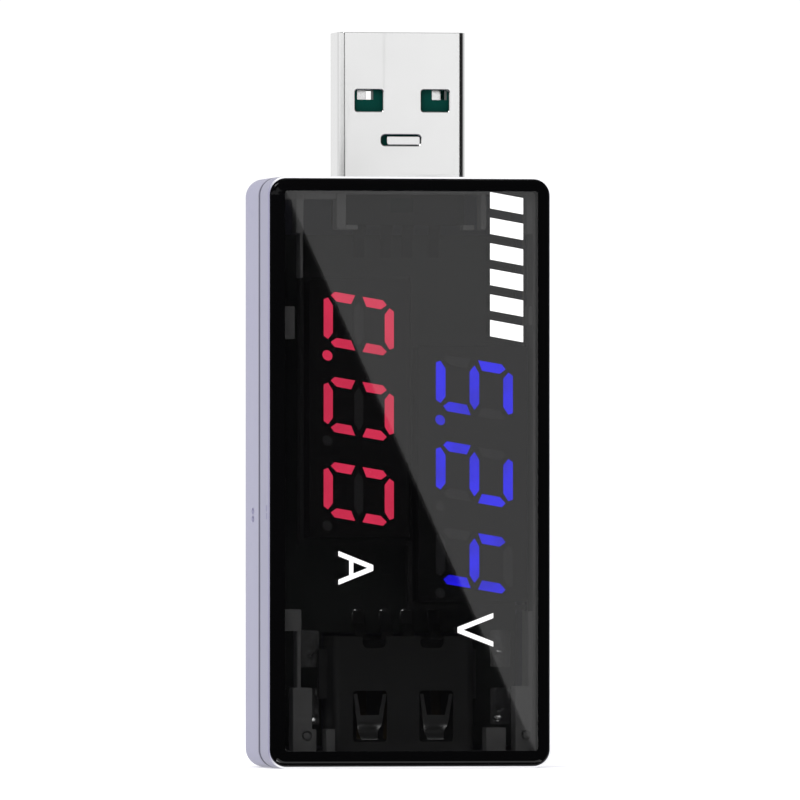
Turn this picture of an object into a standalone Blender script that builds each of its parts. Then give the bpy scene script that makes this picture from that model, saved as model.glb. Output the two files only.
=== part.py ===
"""USB power meter: a two-shell case with a tinted window, two seven-segment displays,
a circuit board, a USB-A plug on top and a USB-A socket at the bottom.

Metres, +Z up. The window faces -Y, the plug points up, and the origin lies on the
bottom end, in the middle of the case.
"""

from math import cos, pi, sin

import bmesh
import bpy
from mathutils import Vector

# Case
CASE_WIDTH = 0.0265
CASE_DEPTH = 0.0126
CASE_HEIGHT = 0.0543
WALL = 0.00155
BACK_WALL = 0.0012
FRAME_CORNER = 0.0017
SHELL_CORNER = 0.0021
INNER_CORNER = 0.0010
SHELL_BACK_ROUND = 0.0008
FRAME_FRONT = -0.0061
PARTING_FRONT = -0.0018
PARTING_BACK = -0.0014
PARTING_CHAMFER = 0.00028
LIP_DEPTH = 0.0009
LIP_INSET = 0.0009
DIMPLE_RADIUS = 0.00022
DIMPLE_DEPTH = 0.00018

# Window
RIM = 0.00025
RIM_GAP = 0.00015
WINDOW_CORNER = 0.0015
WINDOW_THICKNESS = 0.0010
WINDOW_BORDER = 0.00125
WINDOW_CROWN = 0.00025

# Space left between neighbouring pieces, and how far a cutter runs past what it cuts
GAP = 0.0003
PAST = 0.0010

# Circuit board
BOARD_FRONT = 0.0013
BOARD_THICKNESS = 0.0010
BOARD_HALF_WIDTH = 0.0113
BOARD_BOTTOM = 0.0020
BOARD_TOP = 0.0491

# Displays: places of their middles, and sizes across (X), deep (Y) and high (Z)
DISPLAY_FRONT = -0.0050
DISPLAY_DEPTH = 0.0051
DISPLAY_FACE = 0.0009
DISPLAY_WALL = 0.0004
SUBSTRATE_THICKNESS = 0.0006
SEGMENT_CLEARANCE = 0.0001
SEGMENT_END_GAP = 0.00045
DIGIT_COUNT = 3
DIGIT_SLANT = 0.176
DISPLAYS = {
    "ammeter": {
        "middle": (-0.0045, 0.0330),
        "size": (0.0094, 0.0237),
        "digits_across": -0.00457,
        "pitch": 0.00782,
        "bar_spacing": 0.00570,
        "side_spacing": 0.00420,
        "stroke": 0.00085,
        "point": (0.00342, -0.00293),
        "point_radius": 0.00046,
    },
    "voltmeter": {
        "middle": (0.0061, 0.0270),
        "size": (0.0103, 0.0235),
        "digits_across": 0.00624,
        "pitch": 0.00795,
        "bar_spacing": 0.00631,
        "side_spacing": 0.00428,
        "stroke": 0.00088,
        "point": (0.00351, -0.00320),
        "point_radius": 0.00045,
    },
}

# USB-A plug
PLUG_WIDTH = 0.0120
PLUG_DEPTH = 0.0045
PLUG_TIP = 0.0677
PLUG_FOOT = 0.0500
PLUG_SHEET = 0.0003
PLUG_CORNER = 0.0006
PLUG_BLOCK_TOP = 0.0556
HOLE_SPACING = 0.0062
HOLE_SIZE = (0.0026, 0.0020)
HOLE_BELOW_TIP = 0.0063
LATCH_HOLE = (0.0022, 0.0511, 0.0524)
INSULATOR_SLOTS = {"left": (-0.0041, -0.0026), "right": (0.0029, 0.0043)}
INSULATOR_SLOT_HEIGHT = 0.0009
SLOT_SIZE = (0.0038, 0.0011)
SLOT_BELOW_TIP = 0.00994

# USB-A socket
SOCKET_OPENING = (0.0125, 0.00512)
SOCKET_SHEET = 0.00034
SOCKET_MOUTH = 0.0002
SOCKET_END = 0.0121
SOCKET_CORNER = 0.0006
SOCKET_BLOCK = (0.0093, 0.0118)
SOCKET_NOTCH = (0.0022, 0.0011)
TONGUE_HALF_WIDTH = 0.00555
TONGUE_FACE = 0.0007
TONGUE_BACK = 0.00189
TONGUE_TIP = 0.0010

# Contact places across the plug and the socket, from power to ground
CONTACTS = {"power": -0.0035, "data_minus": -0.0010, "data_plus": 0.0010, "ground": 0.0035}
CONTACT_WIDTH = 0.0010
CONTACT_SHEET = 0.00025

# Retention springs of the socket
SPRING_ACROSS = 0.0031
SPRING_WIDTH = 0.0020
SPRING_SHEET = 0.00025
SPRING_ROOT = 0.0068
SPRING_SLOT = (0.0032, 0.0024, 0.0071)

CORNER_STEPS = 4
ROUND_STEPS = 12

HALF_WIDTH = CASE_WIDTH / 2
HALF_DEPTH = CASE_DEPTH / 2
INNER_HALF = HALF_WIDTH - WALL
BOARD_BACK = BOARD_FRONT + BOARD_THICKNESS
WINDOW_BACK = -HALF_DEPTH + WINDOW_THICKNESS


def clear_scene():
    """Empty the scene and open one collection for the parts and one for the cutters."""
    for old in list(bpy.data.objects):
        bpy.data.objects.remove(old)
    for name in ("usb_power_meter", "cutters"):
        bpy.context.scene.collection.children.link(bpy.data.collections.new(name))


def material(name, colour, roughness, metallic=0.0):
    """A Principled material, made once and then looked up by its name."""
    found = bpy.data.materials.get(name)
    if found:
        return found
    made = bpy.data.materials.new(name)
    made.use_nodes = True
    shader = made.node_tree.nodes["Principled BSDF"]
    shader.inputs["Base Color"].default_value = (*colour, 1.0)
    shader.inputs["Roughness"].default_value = roughness
    shader.inputs["Metallic"].default_value = metallic
    return made


def lavender_plastic():
    return material("lavender_plastic", (0.50, 0.49, 0.60), 0.35)


def smoked_acrylic():
    return material("smoked_acrylic", (0.02, 0.02, 0.022), 0.06)


def black_plastic():
    return material("black_plastic", (0.02, 0.02, 0.02), 0.5)


def red_resin():
    return material("red_resin", (0.80, 0.04, 0.10), 0.4)


def blue_resin():
    return material("blue_resin", (0.08, 0.06, 0.80), 0.4)


def green_plastic():
    return material("green_plastic", (0.01, 0.10, 0.09), 0.4)


def board_laminate():
    return material("board_laminate", (0.02, 0.05, 0.03), 0.5)


def nickel_plate():
    return material("nickel_plate", (0.75, 0.75, 0.75), 0.2, 1.0)


def gold_plate():
    return material("gold_plate", (0.85, 0.62, 0.25), 0.25, 1.0)


def capacitor_ceramic():
    return material("capacitor_ceramic", (0.45, 0.30, 0.18), 0.5)


def place(name, mesh, location, finish):
    """A new object of the part's collection, or of the cutters' when it has no finish."""
    thing = bpy.data.objects.new(name, mesh)
    thing.location = location
    if finish:
        mesh.materials.append(finish)
        bpy.data.collections["usb_power_meter"].objects.link(thing)
    else:
        thing.hide_render = True
        thing.display_type = "WIRE"
        bpy.data.collections["cutters"].objects.link(thing)
    return thing


def round_loop(shape, y, offset, steps):
    """Round the edges that lie in the plane at this Y."""
    flat = [e for e in shape.edges if all(abs(v.co.y - y) < 1e-7 for v in e.verts)]
    bmesh.ops.bevel(shape, geom=flat, offset=offset, segments=steps, profile=0.5, affect="EDGES")


def block(name, low, high, finish=None, corner=0.0, axis=1, front_round=None, back_round=None):
    """A box between two corner points.

    The four edges along one axis may be rounded, and so may the outlines of its front
    and back faces, each given as (offset, steps).
    """
    size = Vector(high) - Vector(low)
    shape = bmesh.new()
    bmesh.ops.create_cube(shape, size=1.0)
    bmesh.ops.scale(shape, vec=size, verts=shape.verts)
    if corner:
        along = []
        for edge in shape.edges:
            run = edge.verts[0].co - edge.verts[1].co
            if abs(run[axis]) > 0.9 * run.length:
                along.append(edge)
        bmesh.ops.bevel(
            shape, geom=along, offset=corner, segments=CORNER_STEPS, profile=0.5, affect="EDGES"
        )
    if front_round:
        round_loop(shape, -size.y / 2, *front_round)
    if back_round:
        round_loop(shape, size.y / 2, *back_round)
    mesh = bpy.data.meshes.new(name)
    shape.to_mesh(mesh)
    shape.free()
    if corner:
        mesh.shade_smooth()
        mesh.set_sharp_from_angle(angle=pi / 6)
    return place(name, mesh, (Vector(low) + Vector(high)) / 2, finish)


def span(name, x, y, z, finish=None, **rounding):
    """A box given by its (low, high) ranges across, in depth and in height."""
    return block(name, (x[0], y[0], z[0]), (x[1], y[1], z[1]), finish, **rounding)


def combine(body, tool, operation):
    step = body.modifiers.new(tool.name, "BOOLEAN")
    step.operation = operation
    step.object = tool
    step.solver = "EXACT"


def carve(body, tool):
    """Cut the tool's shape out of the body."""
    combine(body, tool, "DIFFERENCE")


def fuse(body, tool):
    """Join the tool's shape to the body."""
    combine(body, tool, "UNION")


def outline_prism(name, outlines, y_range, finish=None):
    """Flat outlines of (X, Z) points, drawn out along Y and kept as one mesh."""
    curve = bpy.data.curves.new(name, "CURVE")
    curve.dimensions = "2D"
    curve.fill_mode = "BOTH"
    curve.extrude = (y_range[1] - y_range[0]) / 2
    for outline in outlines:
        spline = curve.splines.new("POLY")
        spline.points.add(len(outline) - 1)
        spline.use_cyclic_u = True
        for point, (x, z) in zip(spline.points, outline):
            point.co = (x, z, 0.0, 1.0)
    drawn = bpy.data.objects.new(name + "_outline", curve)
    drawn.rotation_euler = (pi / 2, 0.0, 0.0)
    drawn.location = (0.0, (y_range[0] + y_range[1]) / 2, 0.0)
    bpy.context.scene.collection.objects.link(drawn)
    bpy.context.view_layer.update()
    evaluated = drawn.evaluated_get(bpy.context.evaluated_depsgraph_get())
    mesh = bpy.data.meshes.new_from_object(evaluated)
    shape = bmesh.new()
    shape.from_mesh(mesh)
    bmesh.ops.remove_doubles(shape, verts=shape.verts, dist=1e-7)
    bmesh.ops.recalc_face_normals(shape, faces=shape.faces)
    shape.to_mesh(mesh)
    shape.free()
    made = place(name, mesh, (0.0, 0.0, 0.0), finish)
    made.matrix_world = drawn.matrix_world.copy()
    bpy.data.objects.remove(drawn)
    return made


def bent_strip(name, root, bends, width, thickness, finish):
    """A strip of sheet metal from its root through bends given as (Y, Z) from the root."""
    shape = bmesh.new()
    ends = [shape.verts.new((side * width / 2, 0.0, 0.0)) for side in (-1, 1)]
    front = shape.edges.new(ends)
    last = Vector((0.0, 0.0, 0.0))
    for y, z in bends:
        drawn = bmesh.ops.extrude_edge_only(shape, edges=[front])["geom"]
        ends = [item for item in drawn if isinstance(item, bmesh.types.BMVert)]
        front = shape.edges.get(ends)
        here = Vector((0.0, y, z))
        bmesh.ops.translate(shape, vec=here - last, verts=ends)
        last = here
    mesh = bpy.data.meshes.new(name)
    shape.to_mesh(mesh)
    shape.free()
    strip = place(name, mesh, root, finish)
    sheet = strip.modifiers.new("sheet", "SOLIDIFY")
    sheet.thickness = thickness
    sheet.offset = 0.0
    sheet.use_even_offset = True
    return strip


# Case


def side_pin_cutter(name, y, z):
    """A small moulding dimple in the left side of the case."""
    shape = bmesh.new()
    bmesh.ops.create_cone(
        shape,
        cap_ends=True,
        segments=ROUND_STEPS,
        radius1=DIMPLE_RADIUS,
        radius2=DIMPLE_RADIUS,
        depth=2 * DIMPLE_DEPTH,
    )
    mesh = bpy.data.meshes.new(name)
    shape.to_mesh(mesh)
    shape.free()
    dimple = place(name, mesh, (-HALF_WIDTH, y, z), None)
    dimple.rotation_euler = (0.0, pi / 2, 0.0)
    return dimple


def carve_plug_and_socket(body, y_range):
    """The openings in the two ends of a shell for the plug and for the socket."""
    plug_half = PLUG_WIDTH / 2 + GAP
    socket_half = SOCKET_OPENING[0] / 2 + SOCKET_SHEET + GAP
    ends = {
        "plug": (plug_half, PLUG_DEPTH / 2 + GAP, (CASE_HEIGHT - 2 * WALL, CASE_HEIGHT + PAST)),
        "socket": (
            socket_half,
            SOCKET_OPENING[1] / 2 + SOCKET_SHEET + GAP,
            (-PAST, 2 * WALL),
        ),
    }
    for end, (half, reach, z) in ends.items():
        y = (max(y_range[0], -reach), min(y_range[1], reach))
        carve(body, span(f"cut_{body.name}_{end}", (-half, half), y, z))


def make_front_frame():
    """The front half of the case: a ring with a ledge that holds the window."""
    frame = span(
        "front_frame",
        (-HALF_WIDTH, HALF_WIDTH),
        (FRAME_FRONT, PARTING_FRONT),
        (0.0, CASE_HEIGHT),
        lavender_plastic(),
        corner=FRAME_CORNER,
        back_round=(PARTING_CHAMFER, 1),
    )
    recess = HALF_WIDTH - RIM
    carve(
        frame,
        span(
            "cut_window_seat",
            (-recess, recess),
            (FRAME_FRONT - PAST, WINDOW_BACK + GAP),
            (RIM, CASE_HEIGHT - RIM),
            corner=FRAME_CORNER - RIM,
        ),
    )
    carve(
        frame,
        span(
            "cut_frame_inside",
            (-INNER_HALF, INNER_HALF),
            (FRAME_FRONT - PAST, PARTING_FRONT + PAST),
            (WALL, CASE_HEIGHT - WALL),
            corner=INNER_CORNER,
        ),
    )
    rabbet = LIP_INSET - GAP
    carve(
        frame,
        span(
            "cut_frame_rabbet",
            (-HALF_WIDTH + rabbet, HALF_WIDTH - rabbet),
            (PARTING_BACK - LIP_DEPTH - GAP, PARTING_FRONT + PAST),
            (rabbet, CASE_HEIGHT - rabbet),
            corner=FRAME_CORNER - rabbet,
        ),
    )
    carve_plug_and_socket(frame, (-HALF_DEPTH, PARTING_FRONT + PAST))
    add_frame_ribs(frame)
    carve(frame, side_pin_cutter("cut_frame_dimple", -0.0046, 0.0237))
    return frame


def add_frame_ribs(frame):
    """Ribs, snap tabs and corner blocks moulded on the inside of the frame."""
    wall_left = (-INNER_HALF - GAP, None)
    wall_right = (None, INNER_HALF + GAP)
    ribs = {
        "rib_upper_left": ((wall_left[0], -0.0098), (-0.0044, -0.0030), (0.0459, 0.0530)),
        "tab_middle_left": ((wall_left[0], -0.0104), (-0.0042, -0.0028), (0.0393, 0.0423)),
        "tab_lower_left": ((wall_left[0], -0.0100), (-0.0042, -0.0028), (0.0125, 0.0146)),
        "block_lower_left": ((wall_left[0], -0.0089), (-0.0044, -0.0028), (0.0010, 0.0075)),
        "tab_upper_right": ((0.0111, wall_right[1]), (-0.0044, -0.0030), (0.0491, 0.0530)),
        "tab_middle_right": ((0.0112, wall_right[1]), (-0.0042, -0.0028), (0.0401, 0.0425)),
        "tab_lower_right": ((0.0109, wall_right[1]), (-0.0042, -0.0028), (0.0125, 0.0142)),
        "block_lower_right": ((0.0099, wall_right[1]), (-0.0044, -0.0028), (0.0010, 0.0075)),
        "cradle_left": ((-0.0069, -0.0063), (-0.0044, -0.0028), (0.0494, 0.0530)),
        "cradle_right": ((0.0063, 0.0069), (-0.0044, -0.0028), (0.0494, 0.0530)),
        "cradle_foot_left": ((-0.00685, -0.0050), (-0.0040, -0.0030), (0.0493, 0.0497)),
        "cradle_foot_right": ((0.0050, 0.00685), (-0.0040, -0.0030), (0.0493, 0.0497)),
        "foot_left": ((-0.0080, -0.0070), (-0.0041, -0.0028), (0.0010, 0.0037)),
        "foot_right": ((0.0074, 0.0092), (-0.0041, -0.0028), (0.0010, 0.0044)),
    }
    for name, (x, y, z) in ribs.items():
        fuse(frame, span(name, x, y, z))


def make_back_shell():
    """The back half of the case: a tray with a lip that enters the frame."""
    shell = span(
        "back_shell",
        (-HALF_WIDTH, HALF_WIDTH),
        (PARTING_BACK, HALF_DEPTH),
        (0.0, CASE_HEIGHT),
        lavender_plastic(),
        corner=SHELL_CORNER,
        front_round=(PARTING_CHAMFER, 1),
        back_round=(SHELL_BACK_ROUND, 3),
    )
    fuse(
        shell,
        span(
            "shell_lip",
            (-HALF_WIDTH + LIP_INSET, HALF_WIDTH - LIP_INSET),
            (PARTING_BACK - LIP_DEPTH, PARTING_BACK + PAST),
            (LIP_INSET, CASE_HEIGHT - LIP_INSET),
            corner=FRAME_CORNER - LIP_INSET,
        ),
    )
    carve(
        shell,
        span(
            "cut_shell_inside",
            (-INNER_HALF, INNER_HALF),
            (PARTING_BACK - LIP_DEPTH - PAST, HALF_DEPTH - BACK_WALL),
            (WALL, CASE_HEIGHT - WALL),
            corner=INNER_CORNER,
        ),
    )
    carve_plug_and_socket(shell, (PARTING_BACK - LIP_DEPTH - PAST, HALF_DEPTH))
    for side in (-1, 1):
        for row, z in enumerate((0.0150, 0.0452)):
            x = sorted((side * 0.0094, side * (INNER_HALF + GAP)))
            post = span(
                f"post_{side}_{row}",
                x,
                (BOARD_BACK + GAP, HALF_DEPTH - BACK_WALL / 2),
                (z - 0.0009, z + 0.0009),
            )
            fuse(shell, post)
    carve(shell, side_pin_cutter("cut_shell_dimple", 0.0021, 0.0233))
    return shell


def make_window():
    """The smoked window: a plate whose border slopes back to its edge."""
    half = HALF_WIDTH - RIM - RIM_GAP
    inset = RIM + RIM_GAP
    low = Vector((-half, -HALF_DEPTH + WINDOW_CROWN, inset))
    high = Vector((half, WINDOW_BACK, CASE_HEIGHT - inset))
    window = block("window", low, high, smoked_acrylic(), corner=WINDOW_CORNER)
    shape = bmesh.new()
    shape.from_mesh(window.data)
    face = min(shape.faces, key=lambda f: f.calc_center_median().y)
    bmesh.ops.inset_region(shape, faces=[face], thickness=WINDOW_BORDER)
    bmesh.ops.translate(shape, vec=(0.0, -WINDOW_CROWN, 0.0), verts=face.verts)
    shape.to_mesh(window.data)
    shape.free()
    return window


# Displays


def segment_outlines(look, grow=0.0):
    """The outlines of every segment and decimal point of a display, as (X, Z) points.

    A digit is read with its top towards +X, and the digits follow one another
    downwards. Along is measured down, and up is measured across the case.
    """
    half_stroke = look["stroke"] / 2 + grow
    bar = look["bar_spacing"] / 2
    side = look["side_spacing"] / 2
    lying = side - SEGMENT_END_GAP / 2 + grow
    standing = bar / 2 - SEGMENT_END_GAP / 2 + grow
    shapes = []
    for up in (-bar, 0.0, bar):
        shapes.append(hexagon(0.0, up, lying, half_stroke, True))
    for along in (-side, side):
        for up in (-bar / 2, bar / 2):
            shapes.append(hexagon(along, up, standing, half_stroke, False))
    point_radius = look["point_radius"] + grow
    dot = []
    for step in range(ROUND_STEPS):
        turn = 2 * pi * step / ROUND_STEPS
        dot.append(
            (look["point"][0] + point_radius * cos(turn), look["point"][1] + point_radius * sin(turn))
        )
    shapes.append(dot)
    outlines = []
    for digit in range(DIGIT_COUNT):
        down = (digit - (DIGIT_COUNT - 1) / 2) * look["pitch"]
        for shape in shapes:
            outlines.append(
                [
                    (
                        look["digits_across"] + up,
                        look["middle"][1] - down - along - DIGIT_SLANT * up,
                    )
                    for along, up in shape
                ]
            )
    return outlines


def hexagon(along, up, half_length, half_stroke, lying):
    """A bar with pointed ends, lying along the digits or standing across them."""
    corners = (
        (-half_length, 0.0),
        (half_stroke - half_length, half_stroke),
        (half_length - half_stroke, half_stroke),
        (half_length, 0.0),
        (half_length - half_stroke, -half_stroke),
        (half_stroke - half_length, -half_stroke),
    )
    if lying:
        return [(along + a, up + b) for a, b in corners]
    return [(along + b, up + a) for a, b in corners]


def make_display(name, look, resin):
    """One display module: housing, resin with its raised segments, and substrate."""
    (x, z), (width, height) = look["middle"], look["size"]
    back = DISPLAY_FRONT + DISPLAY_DEPTH
    across = (x - width / 2, x + width / 2)
    tall = (z - height / 2, z + height / 2)
    housing = span(f"{name}_housing", across, (DISPLAY_FRONT, back), tall, black_plastic())
    pocket = span(
        f"cut_{name}_pocket",
        (across[0] + DISPLAY_WALL, across[1] - DISPLAY_WALL),
        (DISPLAY_FRONT + DISPLAY_FACE, back + PAST),
        (tall[0] + DISPLAY_WALL, tall[1] - DISPLAY_WALL),
    )
    carve(housing, pocket)
    slots = (DISPLAY_FRONT - PAST, DISPLAY_FRONT + DISPLAY_FACE + PAST / 2)
    carve(
        housing,
        outline_prism(f"cut_{name}_slots", segment_outlines(look, SEGMENT_CLEARANCE), slots),
    )
    inset = DISPLAY_WALL + GAP
    fill_front = DISPLAY_FRONT + DISPLAY_FACE + GAP
    fill = span(
        f"{name}_segments",
        (across[0] + inset, across[1] - inset),
        (fill_front, back),
        (tall[0] + inset, tall[1] - inset),
        resin,
    )
    raised = (DISPLAY_FRONT + SEGMENT_CLEARANCE, fill_front + PAST / 2)
    fuse(fill, outline_prism(f"add_{name}_bars", segment_outlines(look), raised))
    span(
        f"{name}_substrate",
        (across[0] + GAP, across[1] - GAP),
        (back + GAP, back + GAP + SUBSTRATE_THICKNESS),
        (tall[0] + GAP, tall[1] - GAP),
        board_laminate(),
    )


def make_display_spacer():
    """The dark plate that holds both displays square to the window."""
    y = (DISPLAY_FRONT + 0.0011, DISPLAY_FRONT + 0.0023)
    margin = 0.0007
    spacer = None
    for look in DISPLAYS.values():
        (x, z), (width, height) = look["middle"], look["size"]
        reach = min(x + width / 2 + margin, INNER_HALF - GAP)
        across = (x - width / 2 - margin, reach)
        tall = (z - height / 2 - margin, z + height / 2 + margin)
        if spacer is None:
            spacer = span("display_spacer", across, y, tall, black_plastic())
        else:
            fuse(spacer, span("add_spacer_wing", across, y, tall))
    for name, look in DISPLAYS.items():
        (x, z), (width, height) = look["middle"], look["size"]
        high = x + width / 2 + GAP
        if high + margin > INNER_HALF:
            high = INNER_HALF + PAST
        carve(
            spacer,
            span(
                f"cut_spacer_{name}",
                (x - width / 2 - GAP, high),
                (y[0] - PAST, y[1] + PAST),
                (z - height / 2 - GAP, z + height / 2 + GAP),
            ),
        )
    return spacer


# Circuit board and what is soldered on its back


def make_board():
    """The main board, cut out around the socket."""
    board = span(
        "main_board",
        (-BOARD_HALF_WIDTH, BOARD_HALF_WIDTH),
        (BOARD_FRONT, BOARD_BACK),
        (BOARD_BOTTOM, BOARD_TOP),
        board_laminate(),
        corner=INNER_CORNER / 2,
    )
    half = SOCKET_OPENING[0] / 2 + SOCKET_SHEET + GAP
    carve(
        board,
        span(
            "cut_board_socket",
            (-half, half),
            (BOARD_FRONT - PAST, BOARD_BACK + PAST),
            (BOARD_BOTTOM - PAST, SOCKET_END + GAP),
        ),
    )
    return board


def make_chip():
    """The measuring controller: a moulded body with two rows of leads."""
    low = BOARD_BACK + GAP
    middle_z = 0.0330
    half_x, half_z = 0.0020, 0.0050
    chip = span(
        "controller_chip",
        (-half_x, half_x),
        (low + 0.0001, low + 0.0014),
        (middle_z - half_z, middle_z + half_z),
        black_plastic(),
        back_round=(0.00015, 1),
    )
    pitch = 0.00127
    leads = 8
    for side in (-1, 1):
        for row in range(leads):
            z = middle_z + (row - (leads - 1) / 2) * pitch
            x = sorted((side * (half_x - 0.0004), side * (half_x + 0.0010)))
            lead = span(f"lead_{side}_{row}", x, (low, low + 0.0003), (z - 0.0002, z + 0.0002))
            fuse(chip, lead)
    return chip


def make_small_parts():
    """Chip resistors, capacitors, the shunt and the regulator on the back of the board."""
    low = BOARD_BACK + GAP
    parts = {
        "current_shunt": ((0.0, 0.0215), (0.0064, 0.0032), 0.0007, nickel_plate()),
        "voltage_regulator": ((-0.0070, 0.0400), (0.0026, 0.0045), 0.0015, black_plastic()),
    }
    for row in range(4):
        spot = (0.0070, 0.0270 + 0.0026 * row)
        parts[f"resistor_{row + 1}"] = (spot, (0.0016, 0.0008), 0.00045, black_plastic())
    for row in range(3):
        spot = (-0.0070, 0.0250 + 0.0035 * row)
        parts[f"capacitor_{row + 1}"] = (spot, (0.0020, 0.00125), 0.0010, capacitor_ceramic())
    for name, ((x, z), (width, height), depth, finish) in parts.items():
        span(
            name,
            (x - width / 2, x + width / 2),
            (low, low + depth),
            (z - height / 2, z + height / 2),
            finish,
            back_round=(0.0001, 1),
        )


# USB-A plug


def plug_hole_cutter(name, side, face):
    """One square retention hole through a wide wall of the plug."""
    x = side * HOLE_SPACING / 2
    z = PLUG_TIP - HOLE_BELOW_TIP
    wall = face * (PLUG_DEPTH / 2 - PLUG_SHEET / 2)
    return span(
        name,
        (x - HOLE_SIZE[0] / 2, x + HOLE_SIZE[0] / 2),
        (wall - PLUG_SHEET, wall + PLUG_SHEET),
        (z - HOLE_SIZE[1] / 2, z + HOLE_SIZE[1] / 2),
    )


def make_plug_shell():
    """The drawn steel shell of the plug, open at both ends."""
    half_x, half_y = PLUG_WIDTH / 2, PLUG_DEPTH / 2
    shell = span(
        "plug_shell",
        (-half_x, half_x),
        (-half_y, half_y),
        (PLUG_FOOT, PLUG_TIP),
        nickel_plate(),
        corner=PLUG_CORNER,
        axis=2,
    )
    carve(
        shell,
        span(
            "cut_plug_inside",
            (PLUG_SHEET - half_x, half_x - PLUG_SHEET),
            (PLUG_SHEET - half_y, half_y - PLUG_SHEET),
            (PLUG_FOOT - PAST, PLUG_TIP + PAST),
            corner=PLUG_CORNER - PLUG_SHEET,
            axis=2,
        ),
    )
    for face in (-1, 1):
        for side in (-1, 1):
            carve(shell, plug_hole_cutter(f"cut_plug_hole_{face}_{side}", side, face))
    latch_width, latch_low, latch_high = LATCH_HOLE
    carve(
        shell,
        span(
            "cut_plug_latch",
            (-latch_width / 2, latch_width / 2),
            (-half_y - PAST, -half_y + PLUG_SHEET + GAP / 2),
            (latch_low, latch_high),
        ),
    )
    slot_z = PLUG_TIP - SLOT_BELOW_TIP
    carve(
        shell,
        span(
            "cut_plug_slot",
            (-SLOT_SIZE[0] / 2, SLOT_SIZE[0] / 2),
            (-half_y - PAST, -half_y + PLUG_SHEET + GAP / 2),
            (slot_z - SLOT_SIZE[1] / 2, slot_z + SLOT_SIZE[1] / 2),
            corner=SLOT_SIZE[1] / 2.2,
        ),
    )
    return shell


def make_plug_insulator():
    """The green tongue of the plug on its thick base, notched for the contacts."""
    inner_x = PLUG_WIDTH / 2 - PLUG_SHEET - GAP
    inner_y = PLUG_DEPTH / 2 - PLUG_SHEET - GAP
    tongue_face = -GAP - CONTACT_SHEET / 2
    insulator = span(
        "plug_insulator",
        (-inner_x, inner_x),
        (-inner_y, tongue_face),
        (PLUG_FOOT + GAP, PLUG_TIP - GAP),
        green_plastic(),
    )
    fuse(
        insulator,
        span(
            "add_plug_base",
            (-inner_x + 1e-5, inner_x - 1e-5),
            (tongue_face - PLUG_SHEET, inner_y),
            (PLUG_FOOT + GAP + 1e-5, PLUG_BLOCK_TOP),
        ),
    )
    for name, x in CONTACTS.items():
        half = CONTACT_WIDTH / 2 + GAP
        carve(
            insulator,
            span(
                f"cut_plug_notch_{name}",
                (x - half, x + half),
                (tongue_face + 1e-5, CONTACT_SHEET / 2 + GAP),
                (PLUG_FOOT - PAST, PLUG_BLOCK_TOP + PAST),
            ),
        )
    hole_top = PLUG_TIP - HOLE_BELOW_TIP + HOLE_SIZE[1] / 2
    for name, x in INSULATOR_SLOTS.items():
        carve(
            insulator,
            span(
                f"cut_plug_tongue_{name}",
                x,
                (-inner_y - PAST, tongue_face + PAST),
                (hole_top - INSULATOR_SLOT_HEIGHT, hole_top + GAP),
            ),
        )
    return insulator


def make_plug_contacts():
    """Four gilt strips from the plug's tongue down to the board."""
    foot = BOARD_FRONT - GAP - CONTACT_SHEET / 2
    long_blades = ("power", "ground")
    for name, x in CONTACTS.items():
        blade = PLUG_TIP - (0.0012 if name in long_blades else 0.0022)
        bends = (
            (0.0, -(blade - PLUG_FOOT + 0.0002)),
            (foot, -(blade - PLUG_FOOT + 0.0012)),
            (foot, -(blade - PLUG_FOOT + 0.0030)),
        )
        bent_strip(
            f"plug_contact_{name}", (x, 0.0, blade), bends, CONTACT_WIDTH, CONTACT_SHEET, gold_plate()
        )


# USB-A socket


def make_socket_shell():
    """The sheet shell of the socket with its spring slots and side lugs."""
    half_x = SOCKET_OPENING[0] / 2 + SOCKET_SHEET
    half_y = SOCKET_OPENING[1] / 2 + SOCKET_SHEET
    shell = span(
        "socket_shell",
        (-half_x, half_x),
        (-half_y, half_y),
        (SOCKET_MOUTH, SOCKET_END),
        nickel_plate(),
        corner=SOCKET_CORNER,
        axis=2,
    )
    for side in (-1, 1):
        x = sorted((side * (half_x - SOCKET_SHEET / 2), side * (half_x + 0.0008)))
        lug = span(f"add_lug_{side}", x, (0.0, BOARD_FRONT - GAP), (0.0063, 0.0109))
        fuse(shell, lug)
    carve(
        shell,
        span(
            "cut_socket_inside",
            (SOCKET_SHEET - half_x, half_x - SOCKET_SHEET),
            (SOCKET_SHEET - half_y, half_y - SOCKET_SHEET),
            (SOCKET_MOUTH - PAST, SOCKET_END + PAST),
            corner=SOCKET_CORNER - SOCKET_SHEET,
            axis=2,
        ),
    )
    slot_width, slot_low, slot_high = SPRING_SLOT
    for face in (-1, 1):
        for side in (-1, 1):
            x = side * SPRING_ACROSS
            y = sorted((face * (half_y - SOCKET_SHEET - PAST / 2), face * (half_y + PAST)))
            slot = span(
                f"cut_spring_slot_{face}_{side}",
                (x - slot_width / 2, x + slot_width / 2),
                y,
                (slot_low, slot_high),
            )
            carve(shell, slot)
    notch_width, notch_height = SOCKET_NOTCH
    for side in (-1, 1):
        x = side * (notch_width / 2 + 0.0016)
        notch = span(
            f"cut_socket_end_notch_{side}",
            (x - notch_width / 2, x + notch_width / 2),
            (-half_y - PAST, -half_y + SOCKET_SHEET + PAST / 2),
            (SOCKET_END - notch_height, SOCKET_END + PAST),
            corner=notch_width / 4,
        )
        carve(shell, notch)
    return shell


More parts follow.
